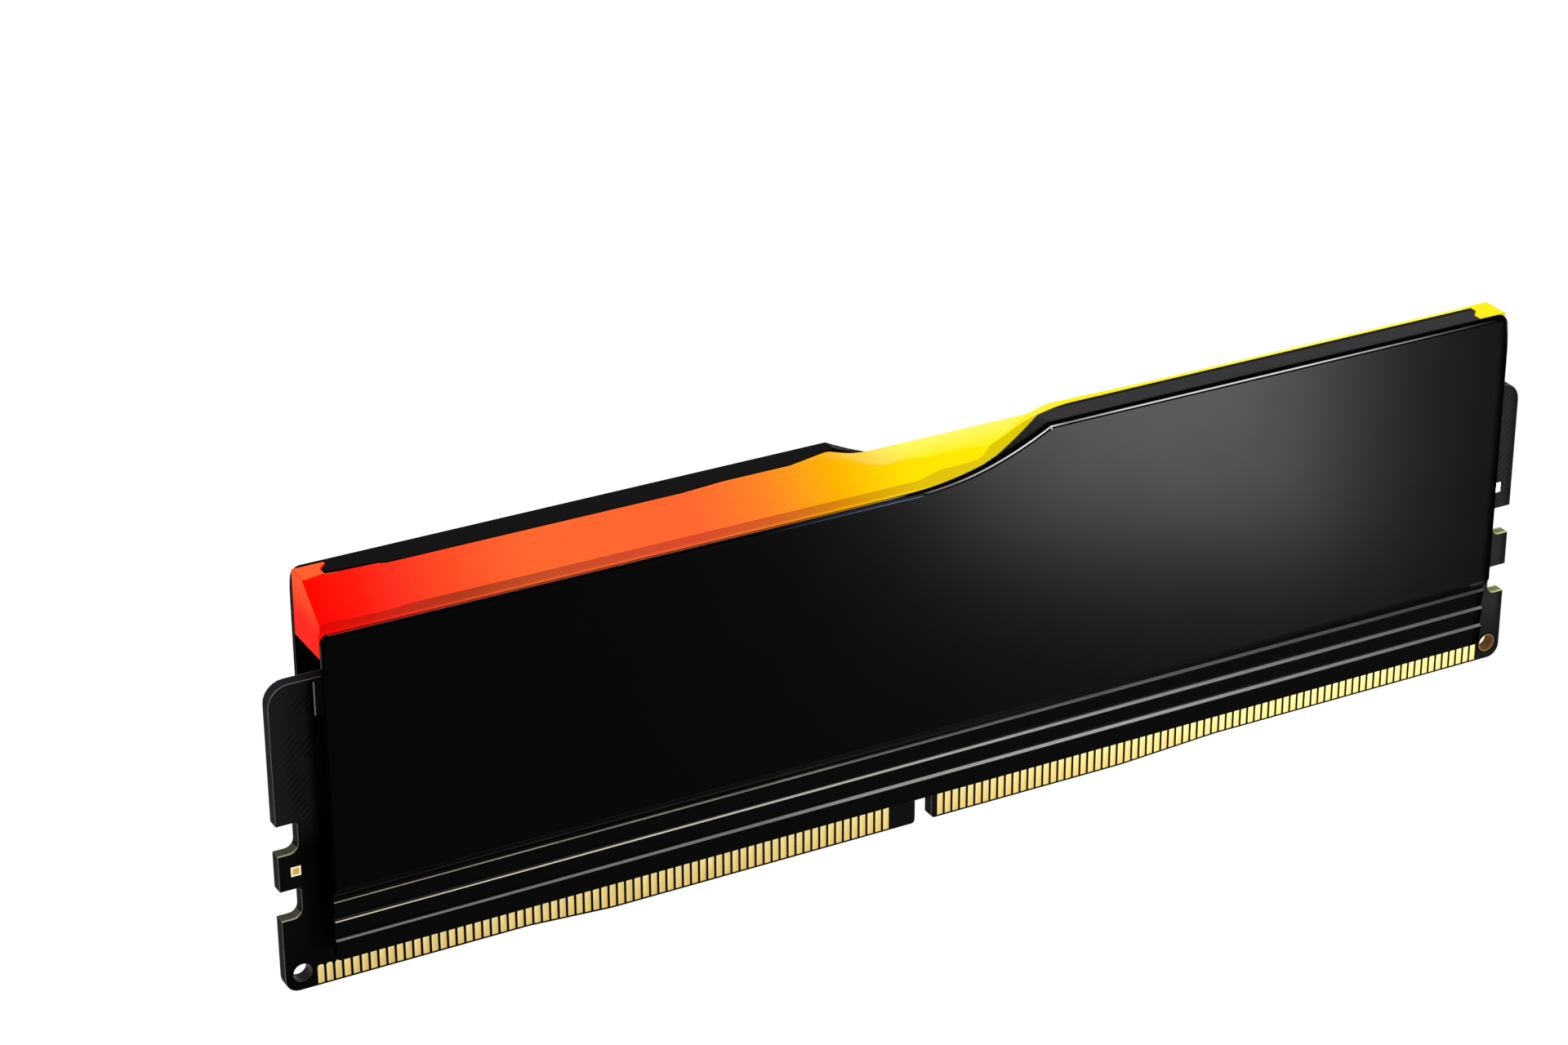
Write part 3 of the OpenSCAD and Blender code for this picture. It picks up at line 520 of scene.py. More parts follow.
def fibre_finish(settings):
    """Cut edge of the glass fibre board, in layers, with paler corners as painted highlights and a left end
    painted darker than the right as shade; dark along the top.
    """
    material, tree, shader = finish("fibre_edge", Specular_IOR_Level=0.05)
    point = place(tree)
    along, across, height = axes(tree, point, "XYZ")
    layers = add(tree, "ShaderNodeTexWave",
                 {"Vector": point, "Scale": WAVE_PITCH / settings.layer_pitch, "Distortion": 1.5,
                  "Detail": 2.0}, bands_direction="Y").outputs["Fac"]
    streak = clouds(tree, noise(tree, point, 0.6, 3.0))
    # painted highlight along the near corner at the left end
    near_edge_highlight = span(tree, across, -0.58, -0.42, 1.0, 0.0)
    left = mixed(tree, near_edge_highlight, settings.fibre_left, settings.fibre_line)
    apart = either_way(tree, across)
    # painted highlights along both corners at the right end
    right = mixed(tree, span(tree, apart, 0.28, 0.5), settings.fibre_right, settings.fibre_rim)
    # painted highlights along the corners of the top edge
    top = mixed(tree, span(tree, apart, 0.5, 0.58), settings.top_edge, settings.top_line)
    # painted light: the left end darker than the right
    base = mixed(tree, span(tree, along, -60, 60), left, right)
    base = mixed(tree, span(tree, height, 24, 28), base, top)
    dark = tinted(tree, base, (0.6, 0.6, 0.58))
    coat(tree, shader, Base_Color=mixed(tree, times(tree, layers, streak), base, dark),
         Roughness=spread(tree, layers, 0, 1, 0.6, 0.75))
    relief(tree, shader, layers, 0.02, 0.4)
    return material


def end_finish(settings):
    """Upright cut edge of the board, black as painted shade, with a paler near corner as a painted
    highlight.
    """
    material, tree, shader = finish("cut_end", Specular_IOR_Level=0.03)
    point = place(tree)
    fine = noise(tree, point, 0.15)
    # painted highlight along the near corner, over black painted shade
    near_edge_highlight = span(tree, axes(tree, point, "Y")[0], -0.58, -0.5, 1.0, 0.0)
    shade = mixed(tree, near_edge_highlight, settings.cut_end, settings.cut_line)
    dark = tinted(tree, shade, (0.6, 0.6, 0.6))
    coat(tree, shader, Base_Color=mixed(tree, clouds(tree, fine), dark, shade),
         Roughness=clouds(tree, fine, 0.5, 0.65))
    relief(tree, shader, fine, 0.01, 0.4)
    return material


def polish(tree, shader, point, shade):
    """Plating's uneven polish over its colour."""
    streak = noise(tree, point, 0.5, 3.0, (1, 1, 0.3))
    dull = tinted(tree, shade, (0.6, 0.55, 0.45))
    coat(tree, shader, Roughness=clouds(tree, streak, 0.09, 0.13),
         Base_Color=mixed(tree, spread(tree, streak, 0.35, 0.65, 0.0, 0.3), shade, dull))
    relief(tree, shader, streak, 0.003, 0.15)


def contact_finish(size):
    """Gold contacts, each with a painted highlight at its upper left and upper end and painted shade at its
    lower right; the gold is painted lighter towards the right end.
    """
    material, tree, shader = finish("gold_contacts", Metallic=1.0)
    point = place(tree)
    along, height = axes(tree, point, "XZ")
    margin = 0.5 - 0.5 * size.width / size.pitch
    across_one = maths(tree, "FRACT", maths(tree, "DIVIDE", along, size.pitch))
    # painted shade: deeper towards each contact's right side and foot
    aside = spread(tree, across_one, margin, 1 - margin, 0.0, 0.55)
    low = spread(tree, height, size.foot_gap, size.top, 0.45, 0.0)
    # painted light: the gold lighter towards the right end
    gold = mixed(tree, span(tree, along, -62, 62), size.gold_left, size.gold_right)
    pale = mixed(tree, 0.45, gold, size.gold_highlight)
    deep = tinted(tree, gold, size.gold_deep)
    body = mixed(tree, maths(tree, "ADD", aside, low), pale, deep)
    # painted highlight along each contact's upper end
    tip_highlight = spread(tree, height, size.top - size.tip_highlight, size.top, 0.0, 0.5)
    polish(tree, shader, point, mixed(tree, tip_highlight, body, size.gold_highlight))
    return material


def hole_finish(settings, middle, bore):
    """Plated corner holes: bare metal round the bore, lacquered further out; the bore's wall is painted
    darker than its ring as shade, and the right hole lighter than the left as painted light.
    """
    material, tree, shader = finish("hole_metal", Specular_IOR_Level=0.05)
    point = place(tree)
    along, height = axes(tree, point, "XZ")
    aside = maths(tree, "SUBTRACT", either_way(tree, along), middle[0])
    above = maths(tree, "SUBTRACT", height, middle[2])
    arm = add(tree, "ShaderNodeCombineXYZ", {"X": aside, "Z": above}).outputs["Vector"]
    reach = add(tree, "ShaderNodeVectorMath", {0: arm}, operation="LENGTH").outputs["Value"]
    # painted light: the right hole lighter than the left; the wall darker than the ring as painted shade
    painted_lighter_right = span(tree, along, -60, 60)
    wall = mixed(tree, painted_lighter_right, settings.wall_left, settings.wall_right)
    ring = mixed(tree, painted_lighter_right, settings.ring_left, settings.ring_right)
    outside = spread(tree, reach, bore + 0.01 * MM, bore + 0.02 * MM)
    coat(tree, shader, Metallic=outside)
    metal = mixed(tree, outside, wall, ring)
    cover = spread(tree, reach, bore + 0.6 * settings.bare_ring, bore + settings.bare_ring)
    polish(tree, shader, point, mixed(tree, cover, metal, settings.lacquer_low))
    return material


def pad_finish(settings, low, high):
    """Gold pad, deeper in its middle than along its border; low and high are its corners."""
    material, tree, shader = finish("gold_pad", Metallic=1.0)
    point = place(tree)
    sides = []
    for place_along, start, end in zip(axes(tree, point, "XZ"), (low[0], low[2]), (high[0], high[2])):
        away = either_way(tree, maths(tree, "SUBTRACT", place_along, (start + end) / 2))
        sides.append(maths(tree, "DIVIDE", away, (end - start) / 2))
    border = spread(tree, maths(tree, "MAXIMUM", *sides), 0.5, 0.8, 0.0, 1.0, True)
    polish(tree, shader, point, mixed(tree, border, settings.gold_deep, settings.gold))
    return material


def tape_finish(settings, low, high):
    """Dark tape with a pale line along its cut end; low and high are the front tape's corners."""
    material, tree, shader = finish("tape", Specular_IOR_Level=0.1)
    point = place(tree)
    fine = noise(tree, point, 0.12)
    out, apart = (either_way(tree, part) for part in axes(tree, point, "XY"))
    cut_end = spread(tree, out, -low[0] - 0.05 * MM, -low[0] - 0.03 * MM, 0.0, 1.0, True)
    middle = -(low[1] + high[1]) / 2
    outer_half = spread(tree, apart, middle - 0.02 * MM, middle + 0.02 * MM)
    face = mixed(tree, fine, scaled(settings.tape, 0.6), scaled(settings.tape, 1.4))
    coat(tree, shader, Roughness=clouds(tree, fine, 0.5, 0.65),
         Base_Color=mixed(tree, times(tree, cut_end, outer_half), face, settings.tape_end))
    relief(tree, shader, fine, 0.01, 0.4)
    return material


def glow_finish(settings):
    """Frosted light guide: the light's own colour runs along the bar; it is paler on top as a painted
    highlight and deeper on the sides and underneath as painted shade.
    """
    material, tree, shader = finish("light_guide", Specular_IOR_Level=0.004, Emission_Strength=1.0)
    point = place(tree)
    along, across, height = axes(tree, point, "XYZ")
    right, lemon = settings.right, settings.lemon
    slope = ramp(tree, along, (-62, settings.end), (-58, settings.near), (-55, settings.left),
                 (-42, settings.middle), (-26, settings.middle), (-19, settings.warm),
                 (-12, settings.turn), (-4, right), (4, (right[0], right[1] * 1.08, right[2])))

    # the top, from the saddle to the right end and then at the left end, painted paler than the slope as a
    # highlight
    behind = mixed(tree, span(tree, across, -2, 1.8), lemon, settings.crest)
    beside = mixed(tree, span(tree, along, 18, 40), lemon, settings.strip)
    right_half = mixed(tree, span(tree, along, 8, 13), behind, beside)
    saddle = mixed(tree, span(tree, along, -12, -6), settings.turn, settings.pale)
    top = mixed(tree, span(tree, along, -6.5, -3), saddle, right_half)
    top = mixed(tree, span(tree, along, -50, -40, 1.0, 0.0), top, settings.cap)
    top = mixed(tree, span(tree, along, 59.3, 59.5), top, lemon)
    open_top = maths(tree, "ADD", span(tree, along, -59.2, -59, 1.0, 0.0), span(tree, along, -12.5, -11.5))
    glow = mixed(tree, times(tree, attribute(tree, "top"), open_top), slope, top)

    # the left end face, painted lighter at its top and darker at its foot as light and shade
    face = mixed(tree, span(tree, height, 36.5, 40), settings.end_low, settings.end_high)
    left_end = span(tree, along, -50, -37.5, 1.0, 0.0)
    glow = mixed(tree, times(tree, attribute(tree, "end"), left_end), glow, face)

    # the upright sides, made deeper than the slope over them by painted shade, with a painted highlight line
    # along their foot
    deep = ramp(tree, along, (-62, (0.75, 0.9, 0.9)), (-50, (0.43, 0.55, 0.6)), (-38, (0.6, 0.53, 0.7)),
                (-30, (0.67, 0.5, 0.85)), (-14, (0.66, 0.5, 0.9)), (-4, (0.74, 0.68, 0.8)),
                (6, (0.74, 0.72, 0.8)))
    side = times(tree, attribute(tree, "side"), span(tree, height, 36.5, 36.85, 0.15, 1.0, True))
    glow = tinted(tree, glow, mixed(tree, side, (1.0, 1.0, 1.0), deep))

    frost = noise(tree, point, 1.2, 3.0)
    # the level attribute is painted shade, dim on faces that look down
    lit = dimmed(tree, glow, times(tree, attribute(tree, "level"), clouds(tree, frost, 0.98, 1.02)))
    coat(tree, shader, Emission_Color=lit, Base_Color=mixed(tree, 0.98, lit, (0.0, 0.0, 0.0)),
         Roughness=clouds(tree, frost, 0.34, 0.46))
    relief(tree, shader, noise(tree, point, 0.12), 0.005, 0.2)
    return material


# Meshes

def merged_copy(node, piece):
    """A CAD node's mesh as a new piece, its loose triangles merged into whole faces."""
    bm = bmesh.new()
    bm.from_mesh(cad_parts[node].data)
    bmesh.ops.remove_doubles(bm, verts=bm.verts, dist=MERGE)
    bmesh.ops.dissolve_limit(bm, angle_limit=FLAT_ANGLE, verts=bm.verts, edges=bm.edges)
    bmesh.ops.recalc_face_normals(bm, faces=bm.faces)
    mesh = bpy.data.meshes.new(piece)
    bm.to_mesh(mesh)
    bm.free()
    mesh.materials.clear()
    obj = bpy.data.objects.new(piece, mesh)
    bpy.context.scene.collection.objects.link(obj)
    return obj


def bake_mesh(obj):
    """Turns what the piece's modifiers give into its own plain mesh."""
    graph = bpy.context.evaluated_depsgraph_get()
    mesh = bpy.data.meshes.new_from_object(obj.evaluated_get(graph))
    obj.modifiers.clear()
    obj.data = mesh
    mesh.name = obj.name
    return mesh


def soften(obj, width_of, widest, segments=3):
    """Softens the sharp edges, each by its own width; the new faces get material number 1."""
    bm = bmesh.new()
    bm.from_mesh(obj.data)
    weight = bm.edges.layers.float.new("bevel_weight_edge")
    for edge in bm.edges:
        if len(edge.link_faces) == 2 and edge.calc_face_angle(0.0) > EDGE_ANGLE:
            edge[weight] = width_of(edge) / widest
    bm.to_mesh(obj.data)
    bm.free()
    bevel = obj.modifiers.new("Soft edges", "BEVEL")
    bevel.limit_method = "WEIGHT"
    bevel.width = widest
    bevel.segments = segments
    bevel.material = 1
    bevel.use_clamp_overlap = False
    mesh = bake_mesh(obj)
    mesh.shade_smooth()
    mesh.set_sharp_from_angle(angle=SHARP_ANGLE)
    flat = obj.modifiers.new("Flat faces", "WEIGHTED_NORMAL")
    flat.weight = 100
    flat.keep_sharp = True
    return bake_mesh(obj)


def share(value, start, end):
    """How far a value is from start to end, from 0 to 1."""
    return min(1.0, max(0.0, (value - start) / (end - start)))


def hand_over(obj, slot, *nodes):
    """Gives the finished piece to the frame, in place of its CAD nodes."""
    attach(obj, "root")
    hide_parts(*nodes)


def dress(material, *nodes):
    """Gives CAD nodes a finish."""
    for name in nodes:
        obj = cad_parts[name]
        if not obj.material_slots:
            obj.data.materials.append(material)
        for slot in obj.material_slots:
            slot.material = material


def nodes_named(start):
    """CAD nodes whose names start so."""
    return sorted(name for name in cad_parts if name.startswith(start))


# Geometry Nodes

def contact_row_tree():
    """One flat contact with round upper corners, repeated along the edge, its foot following the edge."""
    tree = bpy.data.node_groups.new("Contact row", "GeometryNodeTree")
    kinds = {"Count": "NodeSocketInt", "Material": "NodeSocketMaterial"}
    names = ("Count", "First", "Pitch", "Width", "Top", "Foot Gap", "Corner", "Plating", "Face", "Turn",
             "Edge Rise", "Left High", "Left Low", "Right Low", "Right High", "Material")
    sockets = {}
    for name in names:
        item = tree.interface.new_socket(name=name, in_out="INPUT",
                                         socket_type=kinds.get(name, "NodeSocketFloat"))
        sockets[name] = item.identifier
    tree.interface.new_socket(name="Contacts", in_out="OUTPUT", socket_type="NodeSocketGeometry")
    size = add(tree, "NodeGroupInput").outputs

    def vector(x=0.0, y=0.0, z=0.0):
        return add(tree, "ShaderNodeCombineXYZ", {"X": x, "Y": y, "Z": z}).outputs[0]

    def position(letters):
        return axes(tree, add(tree, "GeometryNodeInputPosition").outputs[0], letters)

    # one contact
    height = maths(tree, "SUBTRACT", size["Top"], size["Foot Gap"])
    middle = times(tree, maths(tree, "ADD", size["Top"], size["Foot Gap"]), 0.5)
    outline = add(tree, "GeometryNodeCurvePrimitiveQuadrilateral",
                  {"Width": size["Width"], "Height": height}, mode="RECTANGLE").outputs["Curve"]
    upper_corners = maths(tree, "GREATER_THAN", position("Y")[0], 0.0)
    outline = add(tree, "GeometryNodeFilletCurve",
                  {"Curve": outline, "Count": 4, "Radius": times(tree, upper_corners, size["Corner"])},
                  mode="POLY").outputs["Curve"]
    sheet = add(tree, "GeometryNodeFillCurve", {"Curve": outline}, mode="NGONS").outputs["Mesh"]
    raised = add(tree, "GeometryNodeExtrudeMesh", {"Mesh": sheet, "Offset Scale": size["Plating"]},
                 mode="FACES").outputs["Mesh"]
    back = add(tree, "GeometryNodeFlipFaces", {"Mesh": sheet}).outputs["Mesh"]
    both = add(tree, "GeometryNodeJoinGeometry")
    for part in (raised, back):
        tree.links.new(part, both.inputs["Geometry"])
    pad = add(tree, "GeometryNodeMergeByDistance",
              {"Geometry": both.outputs[0], "Distance": MERGE}).outputs["Geometry"]
    pad = add(tree, "GeometryNodeTransform",
              {"Geometry": pad, "Rotation": vector(math.pi / 2, 0.0, size["Turn"])}).outputs["Geometry"]

    # the row
    row = add(tree, "GeometryNodeMeshLine",
              {"Count": size["Count"], "Start Location": vector(size["First"], size["Face"], middle),
               "Offset": vector(size["Pitch"])}, mode="OFFSET").outputs["Mesh"]
    pads = add(tree, "GeometryNodeInstanceOnPoints", {"Points": row, "Instance": pad}).outputs["Instances"]
    pads = add(tree, "GeometryNodeRealizeInstances", {"Geometry": pads}).outputs["Geometry"]
    along, up = position("XZ")
    rise = maths(tree, "ADD",
                 spread(tree, along, size["Left Low"], size["Left High"], 0.0, size["Edge Rise"]),
                 spread(tree, along, size["Right Low"], size["Right High"], 0.0, size["Edge Rise"]))
    feet = maths(tree, "LESS_THAN", up, middle)
    pads = add(tree, "GeometryNodeSetPosition",
               {"Geometry": pads, "Selection": feet, "Offset": vector(0.0, 0.0, rise)}).outputs["Geometry"]
    pads = add(tree, "GeometryNodeSetMaterial",
               {"Geometry": pads, "Material": size["Material"]}).outputs["Geometry"]
    add(tree, "NodeGroupOutput", {"Contacts": pads})
    return tree, sockets


def grown(piece, tree, sockets, values):
    """A new piece, grown by a tree from named values."""
    obj = bpy.data.objects.new(piece, bpy.data.meshes.new(piece))
    bpy.context.scene.collection.objects.link(obj)
    modifier = obj.modifiers.new("Grown", "NODES")
    modifier.node_group = tree
    for name, value in values.items():
        modifier[sockets[name]] = value
    bake_mesh(obj)
    return obj


# Operators

class MODULE_OT_stage(bpy.types.Operator):
    """Camera, floor, surroundings and lamps"""
    bl_idname = "memory_module.stage"
    bl_label = "Stage"

    def execute(self, context):
        scene = context.scene
        stage = scene.module_stage
        scene.view_settings.view_transform = "Standard"
        self.set_camera(scene, stage)
        self.set_floor(scene, stage)
        self.set_sky(scene, stage)
        self.set_lamp(scene, "top_lamp", *TOP_LAMP, stage.top_power)
        gloss = self.set_lamp(scene, "front_lamp", *FRONT_LAMP, stage.front_power)
        gloss.visible_diffuse = False
        return {"FINISHED"}

    def set_camera(self, scene, stage):
        data = bpy.data.cameras.new("camera")
        data.sensor_fit = "HORIZONTAL"
        data.sensor_width = SENSOR_WIDTH
        data.lens = stage.lens
        az, el, roll = stage.azimuth, stage.elevation, stage.roll
        back = Vector((math.sin(az) * math.cos(el), -math.cos(az) * math.cos(el), math.sin(el)))
        right = Vector((math.cos(az), math.sin(az), 0.0))
        up = back.cross(right)
        turned = Matrix((math.cos(roll) * right + math.sin(roll) * up,
                         math.cos(roll) * up - math.sin(roll) * right, back)).transposed()
        obj = bpy.data.objects.new("camera", data)
        obj.matrix_world = Matrix.Translation(Vector(stage.camera)) @ turned.to_4x4()
        scene.collection.objects.link(obj)
        scene.camera = obj

    def seen_white(self, tree):
        """1 for rays of the camera and of mirrored or clear surfaces."""
        path = add(tree, "ShaderNodeLightPath").outputs
        seen = maths(tree, "MAXIMUM", path["Is Camera Ray"], path["Is Glossy Ray"])
        return maths(tree, "MAXIMUM", seen, path["Is Transmission Ray"])

    def set_floor(self, scene, stage):
        """Pale floor; where it is seen it is white, a little darker in the shade."""
        half = stage.floor_half
        mesh = bpy.data.meshes.new("floor")
        corners = [(-half, -half, stage.floor), (half, -half, stage.floor),
                   (half, half, stage.floor), (-half, half, stage.floor)]
        mesh.from_pydata(corners, [], [(0, 1, 2, 3)])
        material = bpy.data.materials.new("pale_floor")
        material.use_nodes = True
        tree = material.node_tree
        tree.nodes.clear()
        paint = add(tree, "ShaderNodeBsdfDiffuse", {"Color": FLOOR_PAINT})
        soft = add(tree, "ShaderNodeBsdfDiffuse", {"Color": FLOOR_SHADED})
        white = add(tree, "ShaderNodeEmission", {"Strength": FLOOR_GLOW})
        lit = add(tree, "ShaderNodeAddShader", {0: soft.outputs[0], 1: white.outputs[0]})
        both = add(tree, "ShaderNodeMixShader",
                   {0: self.seen_white(tree), 1: paint.outputs[0], 2: lit.outputs[0]})
        add(tree, "ShaderNodeOutputMaterial", {"Surface": both.outputs[0]})
        mesh.materials.append(material)
        obj = bpy.data.objects.new("floor", mesh)
        scene.collection.objects.link(obj)

    def set_sky(self, scene, stage):
        world = bpy.data.worlds.new("studio")
        world.use_nodes = True
        tree = world.node_tree
        tree.nodes.clear()
        level = spread(tree, self.seen_white(tree), 0.0, 1.0, stage.sky, 1.0)
        sky = add(tree, "ShaderNodeBackground", {"Color": (1.0, 1.0, 1.0), "Strength": level})
        add(tree, "ShaderNodeOutputWorld", {"Surface": sky.outputs[0]})
        scene.world = world

    def set_lamp(self, scene, name, at, towards, size, power):
        data = bpy.data.lights.new(name, "AREA")
        data.shape = "RECTANGLE"
        data.size, data.size_y = size
        data.energy = power
        obj = bpy.data.objects.new(name, data)
        obj.location = at
        obj.rotation_euler = (Vector(towards) - Vector(at)).to_track_quat("-Z", "Y").to_euler()
        obj.visible_camera = False
        scene.collection.objects.link(obj)
        return obj


class MODULE_OT_board(bpy.types.Operator):
    """Circuit board with lacquered faces and cut fibre edges"""
    bl_idname = "memory_module.board"
    bl_label = "Board"

    def execute(self, context):
        settings = context.scene.module_board
        obj = merged_copy("circuit_board", "board_panel")
        lacquer, fibre, cut_end = range(3)
        for material in (lacquer_finish(settings), fibre_finish(settings), end_finish(settings)):
            obj.data.materials.append(material)
        mesh = soften(obj, lambda edge: settings.edge_soft, settings.edge_soft, 1)
        front_or_back = 0.95        # lacquered faces look at least this far to the front or back
        notches_to = 24 * MM        # the notches lie below this height, the top edge above it
        # faces that look up take the fibre finish; the other cut faces take the black cut end finish, which
        # is painted shade
        for face in mesh.polygons:
            steepest = 0.6 if face.center.z <= notches_to else 0.35
            if abs(face.normal.y) > front_or_back:
                face.material_index = lacquer
            else:
                face.material_index = fibre if face.normal.z > steepest else cut_end
        hand_over(obj, "solder_mask", "circuit_board")
        return {"FINISHED"}


class MODULE_OT_contacts(bpy.types.Operator):
    """Rows of gold contacts along the lower edge, on both faces"""
    bl_idname = "memory_module.contacts"
    bl_label = "Contacts"

    def execute(self, context):
        size = context.scene.module_contacts
        gold = contact_finish(size)
        tree, sockets = contact_row_tree()
        places = size.count_left + size.skipped + size.count_right
        low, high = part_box("circuit_board")
        for face, turn, y in (("front", 0.0, low[1]), ("back", math.pi, high[1])):
            for end, count, first in (("left", size.count_left, 0),
                                      ("right", size.count_right, size.count_left + size.skipped)):
                values = {"Count": count, "First": (first - (places - 1) / 2) * size.pitch,
                          "Pitch": size.pitch, "Width": size.width, "Top": size.top,
                          "Foot Gap": size.foot_gap, "Corner": size.corner, "Plating": size.plating,
                          "Face": y, "Turn": turn, "Edge Rise": size.edge_rise,
                          "Left High": size.left_high, "Left Low": size.left_low,
                          "Right Low": size.right_low, "Right High": size.right_high, "Material": gold}
                name = f"{face}_contacts_{end}"
                obj = grown(f"{face}_contact_row_{end}", tree, sockets, values)
                hand_over(obj, "gold_plating", name)
        return {"FINISHED"}


class MODULE_OT_plating(bpy.types.Operator):
    """Corner hole sleeves, gold and tin pads, and tape"""
    bl_idname = "memory_module.plating"
    bl_label = "Holes, pads and tape"

    def execute(self, context):
        settings = context.scene.module_board
        low, high = (Vector(corner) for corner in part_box("right_hole_sleeve"))
        bore = (high.x - low.x) / 2 - settings.hole_ring
        dress(hole_finish(settings, (low + high) / 2, bore), "left_hole_sleeve", "right_hole_sleeve")
        dress(pad_finish(settings, *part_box("gold_test_pad")), "gold_test_pad")
        dress(grained("tin_pad", settings.tin, 0.2, 0.06, (0.3, 0.4), 0.006, Metallic=1.0),
              "tinned_test_pad")
        dress(tape_finish(settings, *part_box("front_tape")), "front_tape", "back_tape")
        return {"FINISHED"}


class MODULE_OT_spreaders(bpy.types.Operator):
    """Black sheet heat spreaders with bare rims and rib ledges that carry painted highlights"""
    bl_idname = "memory_module.spreaders"
    bl_label = "Heat spreaders"

    def execute(self, context):
        settings = context.scene.module_spreaders
        sheet = sheet_finish(settings)
        ledge = ledge_finish(settings)
        for face, sign, turn in (("front", 1, 0.0), ("back", -1, math.pi)):
            obj = merged_copy(f"{face}_heat_spreader", f"{face}_sheet")
            for material in (sheet, rim_finish(f"{face}_rim", settings, turn), ledge):
                obj.data.materials.append(material)
            self.shape(obj, sign, settings)
            hand_over(obj, "spreader_sheet", f"{face}_heat_spreader")
        return {"FINISHED"}

    def shape(self, obj, sign, settings):
        """Rounds the bend along the upper edge, softens the other edges and gives out the finishes."""
        sheet, rim, ledge = range(3)
        ribs_to, bend_edges_from, bend_faces_from, top_from = 10.5 * MM, 12 * MM, 14 * MM, 36 * MM
        wave_start, wave_end = -5 * MM, 2 * MM
        outer = min(sign * v.co.y for v in obj.data.vertices)

        def on_face(point, slack=0.01 * MM):
            return sign * point.y < outer + slack

        def width(edge):
            if not all(on_face(v.co) and v.co.z > bend_edges_from for v in edge.verts):
                return settings.edge
            along = sign * sum(v.co.x for v in edge.verts) / 2
            past_wave = share(along, wave_start, wave_end)
            return settings.rim_low + (settings.rim - settings.rim_low) * past_wave

        mesh = soften(obj, width, settings.rim, 4)
        for face in mesh.polygons:
            outward, up, middle = -sign * face.normal.y, face.normal.z, face.center
            on_rib = middle.z < ribs_to and 0.4 < outward < 0.75 and up > 0.6
            on_top = middle.z > top_from and sign * middle.x < wave_end and up > 0.8
            on_bend = middle.z > bend_faces_from and on_face(middle, 1.05 * settings.rim) and outward < 0.98
            if on_rib:
                face.material_index = ledge
            elif on_top:
                face.material_index = rim
            elif not on_bend:
                face.material_index = sheet


class MODULE_OT_light_bar(bpy.types.Operator):
    """Frosted light bar, lit from inside"""
    bl_idname = "memory_module.light_bar"
    bl_label = "Light bar"

    def execute(self, context):
        settings = context.scene.module_light_bar
        obj = merged_copy("light_bar", "light_guide_bar")
        glow = glow_finish(settings)
        obj.data.materials.append(glow)
        obj.data.materials.append(glow)

        # the thin corner where the front flange runs over the slope stays sharp
        thin_start, thin_end, thin_from, sharp = 2.9 * MM, 4.4 * MM, 38.3 * MM, 0.01 * MM

        def width(edge):
            thin = any(thin_start < v.co.x < thin_end and v.co.z > thin_from for v in edge.verts)
            return sharp if thin else settings.edge

        mesh = soften(obj, width, settings.edge)
        mesh.materials.pop(index=1)
        top, side, end, level = (mesh.attributes.new(name, "FLOAT", "FACE")
                                 for name in ("top", "side", "end", "level"))
        upright = 0.9           # upright faces look at least this far to the front, back or ends
        # faces that look down get painted shade at this level
        underside, underside_painted_shade = -0.3, 0.3
        for face in mesh.polygons:
            face.material_index = 0
            aside, across, up = face.normal
            top.data[face.index].value = share(up, 0.86, 0.92)
            side.data[face.index].value = 1.0 if abs(across) > upright else 0.0
            end.data[face.index].value = 1.0 if abs(aside) > upright else 0.0
            level.data[face.index].value = underside_painted_shade if up < underside else 1.0
        hand_over(obj, "light_diffuser", "light_bar")
        return {"FINISHED"}


class MODULE_OT_chips(bpy.types.Operator):
    """Memory, power, identity and lighting chips"""
    bl_idname = "memory_module.chips"
    bl_label = "Chips"

    def execute(self, context):
        settings = context.scene.module_parts
        package = grained("chip_package", settings.package, 0.12, 0.3, (0.55, 0.7), 0.01,
                          Specular_IOR_Level=0.3)
        dress(package, *nodes_named("front_memory"), *nodes_named("back_memory"),
              "power_chip", "identity_chip", "lighting_chip")
        return {"FINISHED"}


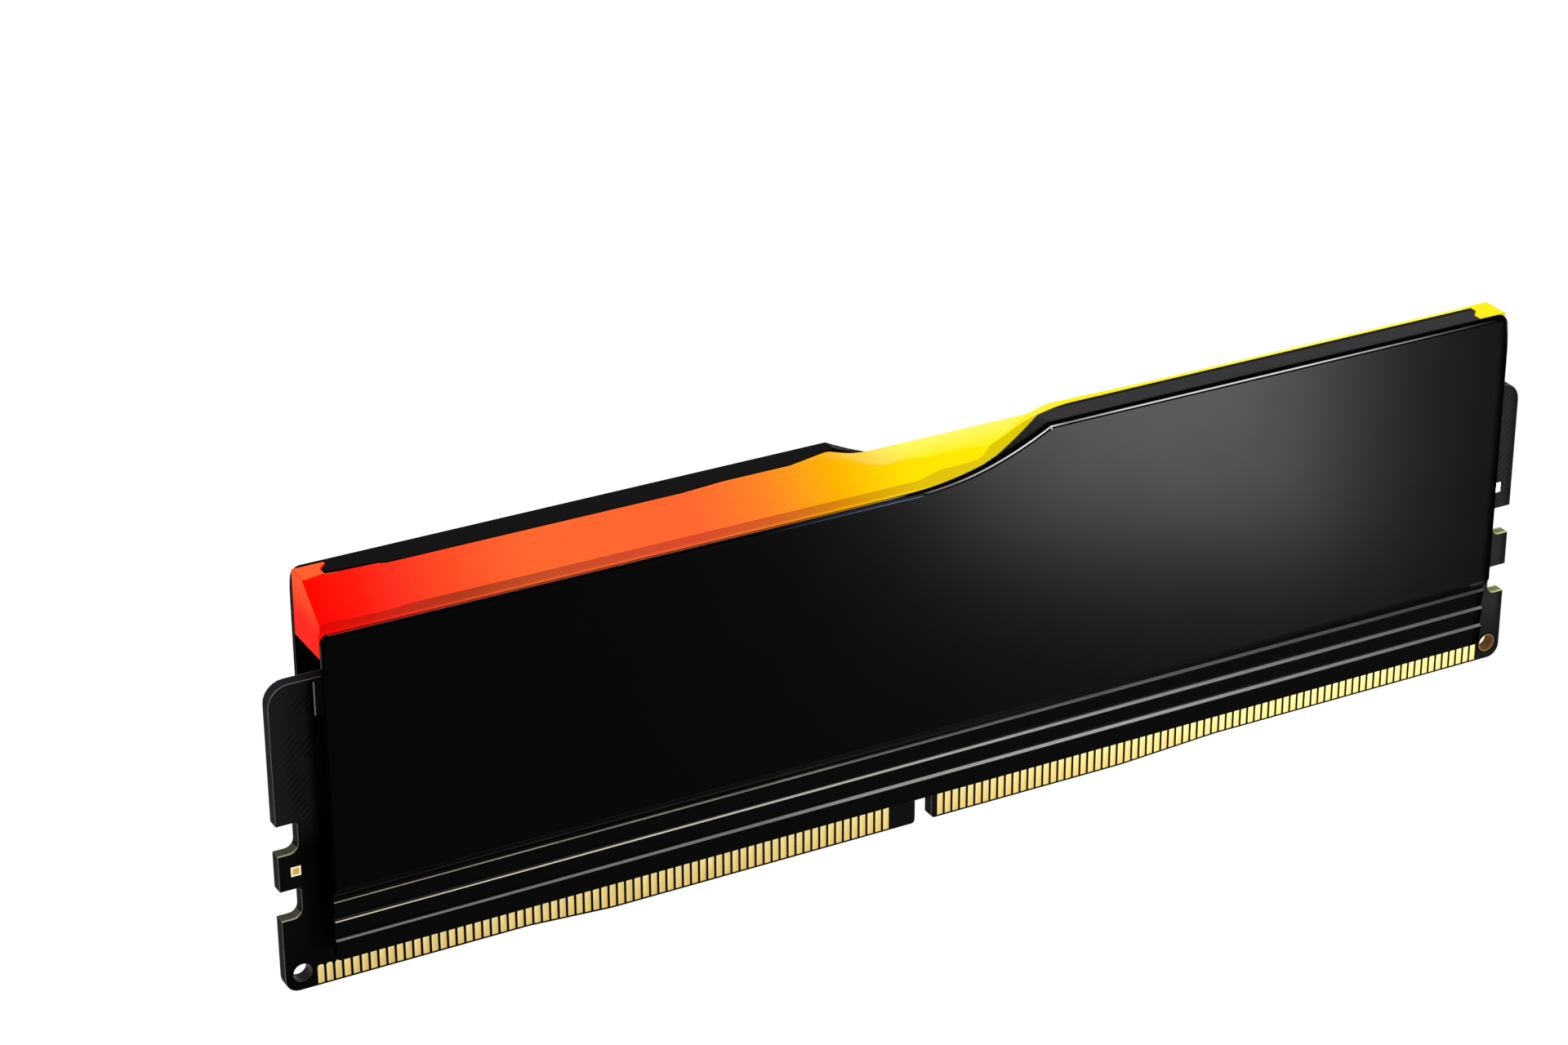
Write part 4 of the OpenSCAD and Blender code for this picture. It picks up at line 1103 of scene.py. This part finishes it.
class MODULE_OT_small_parts(bpy.types.Operator):
    """Inductors, lights, capacitors and resistors"""
    bl_idname = "memory_module.small_parts"
    bl_label = "Small parts"

    def execute(self, context):
        settings = context.scene.module_parts
        dress(grained("ferrite", settings.ferrite, 0.2, 0.25, (0.6, 0.75), 0.02),
              *nodes_named("power_inductor"))
        dress(grained("light_lens", settings.lens, 0.3, 0.12, (0.25, 0.35), 0.005),
              *(name for name in nodes_named("light_") if name != "light_bar"))
        dress(grained("ceramic", settings.ceramic, 0.1, 0.2, (0.45, 0.6), 0.008),
              "power_capacitors", "front_capacitors", "back_capacitors")
        dress(grained("resistor_glaze", settings.resistor, 0.1, 0.2, (0.3, 0.4), 0.006),
              "front_resistors", "back_resistors")
        return {"FINISHED"}


class MODULE_OT_thermal_pads(bpy.types.Operator):
    """Soft pads between the chips and the spreaders"""
    bl_idname = "memory_module.thermal_pads"
    bl_label = "Thermal pads"

    def execute(self, context):
        settings = context.scene.module_parts
        foam = grained("thermal_foam", settings.foam, 0.25, 0.18, (0.7, 0.85), 0.03)
        dress(foam, *nodes_named("front_thermal"), *nodes_named("back_thermal"), "power_thermal_pad")
        return {"FINISHED"}


class MODULE_PT_panel(bpy.types.Panel):
    """Lists the pieces of the memory module"""
    bl_idname = "MODULE_PT_panel"
    bl_label = "Memory module"
    bl_space_type = "VIEW_3D"
    bl_region_type = "UI"
    bl_category = "Memory module"

    def draw(self, context):
        for operator in OPERATORS:
            self.layout.operator(operator.bl_idname)


GROUPS = {"module_contacts": ContactSettings, "module_board": BoardSettings,
          "module_spreaders": SpreaderSettings, "module_light_bar": LightBarSettings,
          "module_parts": PartSettings, "module_stage": StageSettings}
OPERATORS = (MODULE_OT_stage, MODULE_OT_board, MODULE_OT_contacts, MODULE_OT_plating, MODULE_OT_spreaders,
             MODULE_OT_light_bar, MODULE_OT_chips, MODULE_OT_small_parts, MODULE_OT_thermal_pads)
CLASSES = (*GROUPS.values(), *OPERATORS, MODULE_PT_panel)


def register():
    for cls in CLASSES:
        bpy.utils.register_class(cls)
    for name, group in GROUPS.items():
        setattr(bpy.types.Scene, name, PointerProperty(type=group))


def unregister():
    for name in GROUPS:
        delattr(bpy.types.Scene, name)
    for cls in reversed(CLASSES):
        bpy.utils.unregister_class(cls)


def main():
    register()
    make = bpy.ops.memory_module
    for step in (make.stage, make.board, make.contacts, make.plating, make.spreaders, make.light_bar,
                 make.chips, make.small_parts, make.thermal_pads):
        step()


if __name__ == "__main__":
    main()
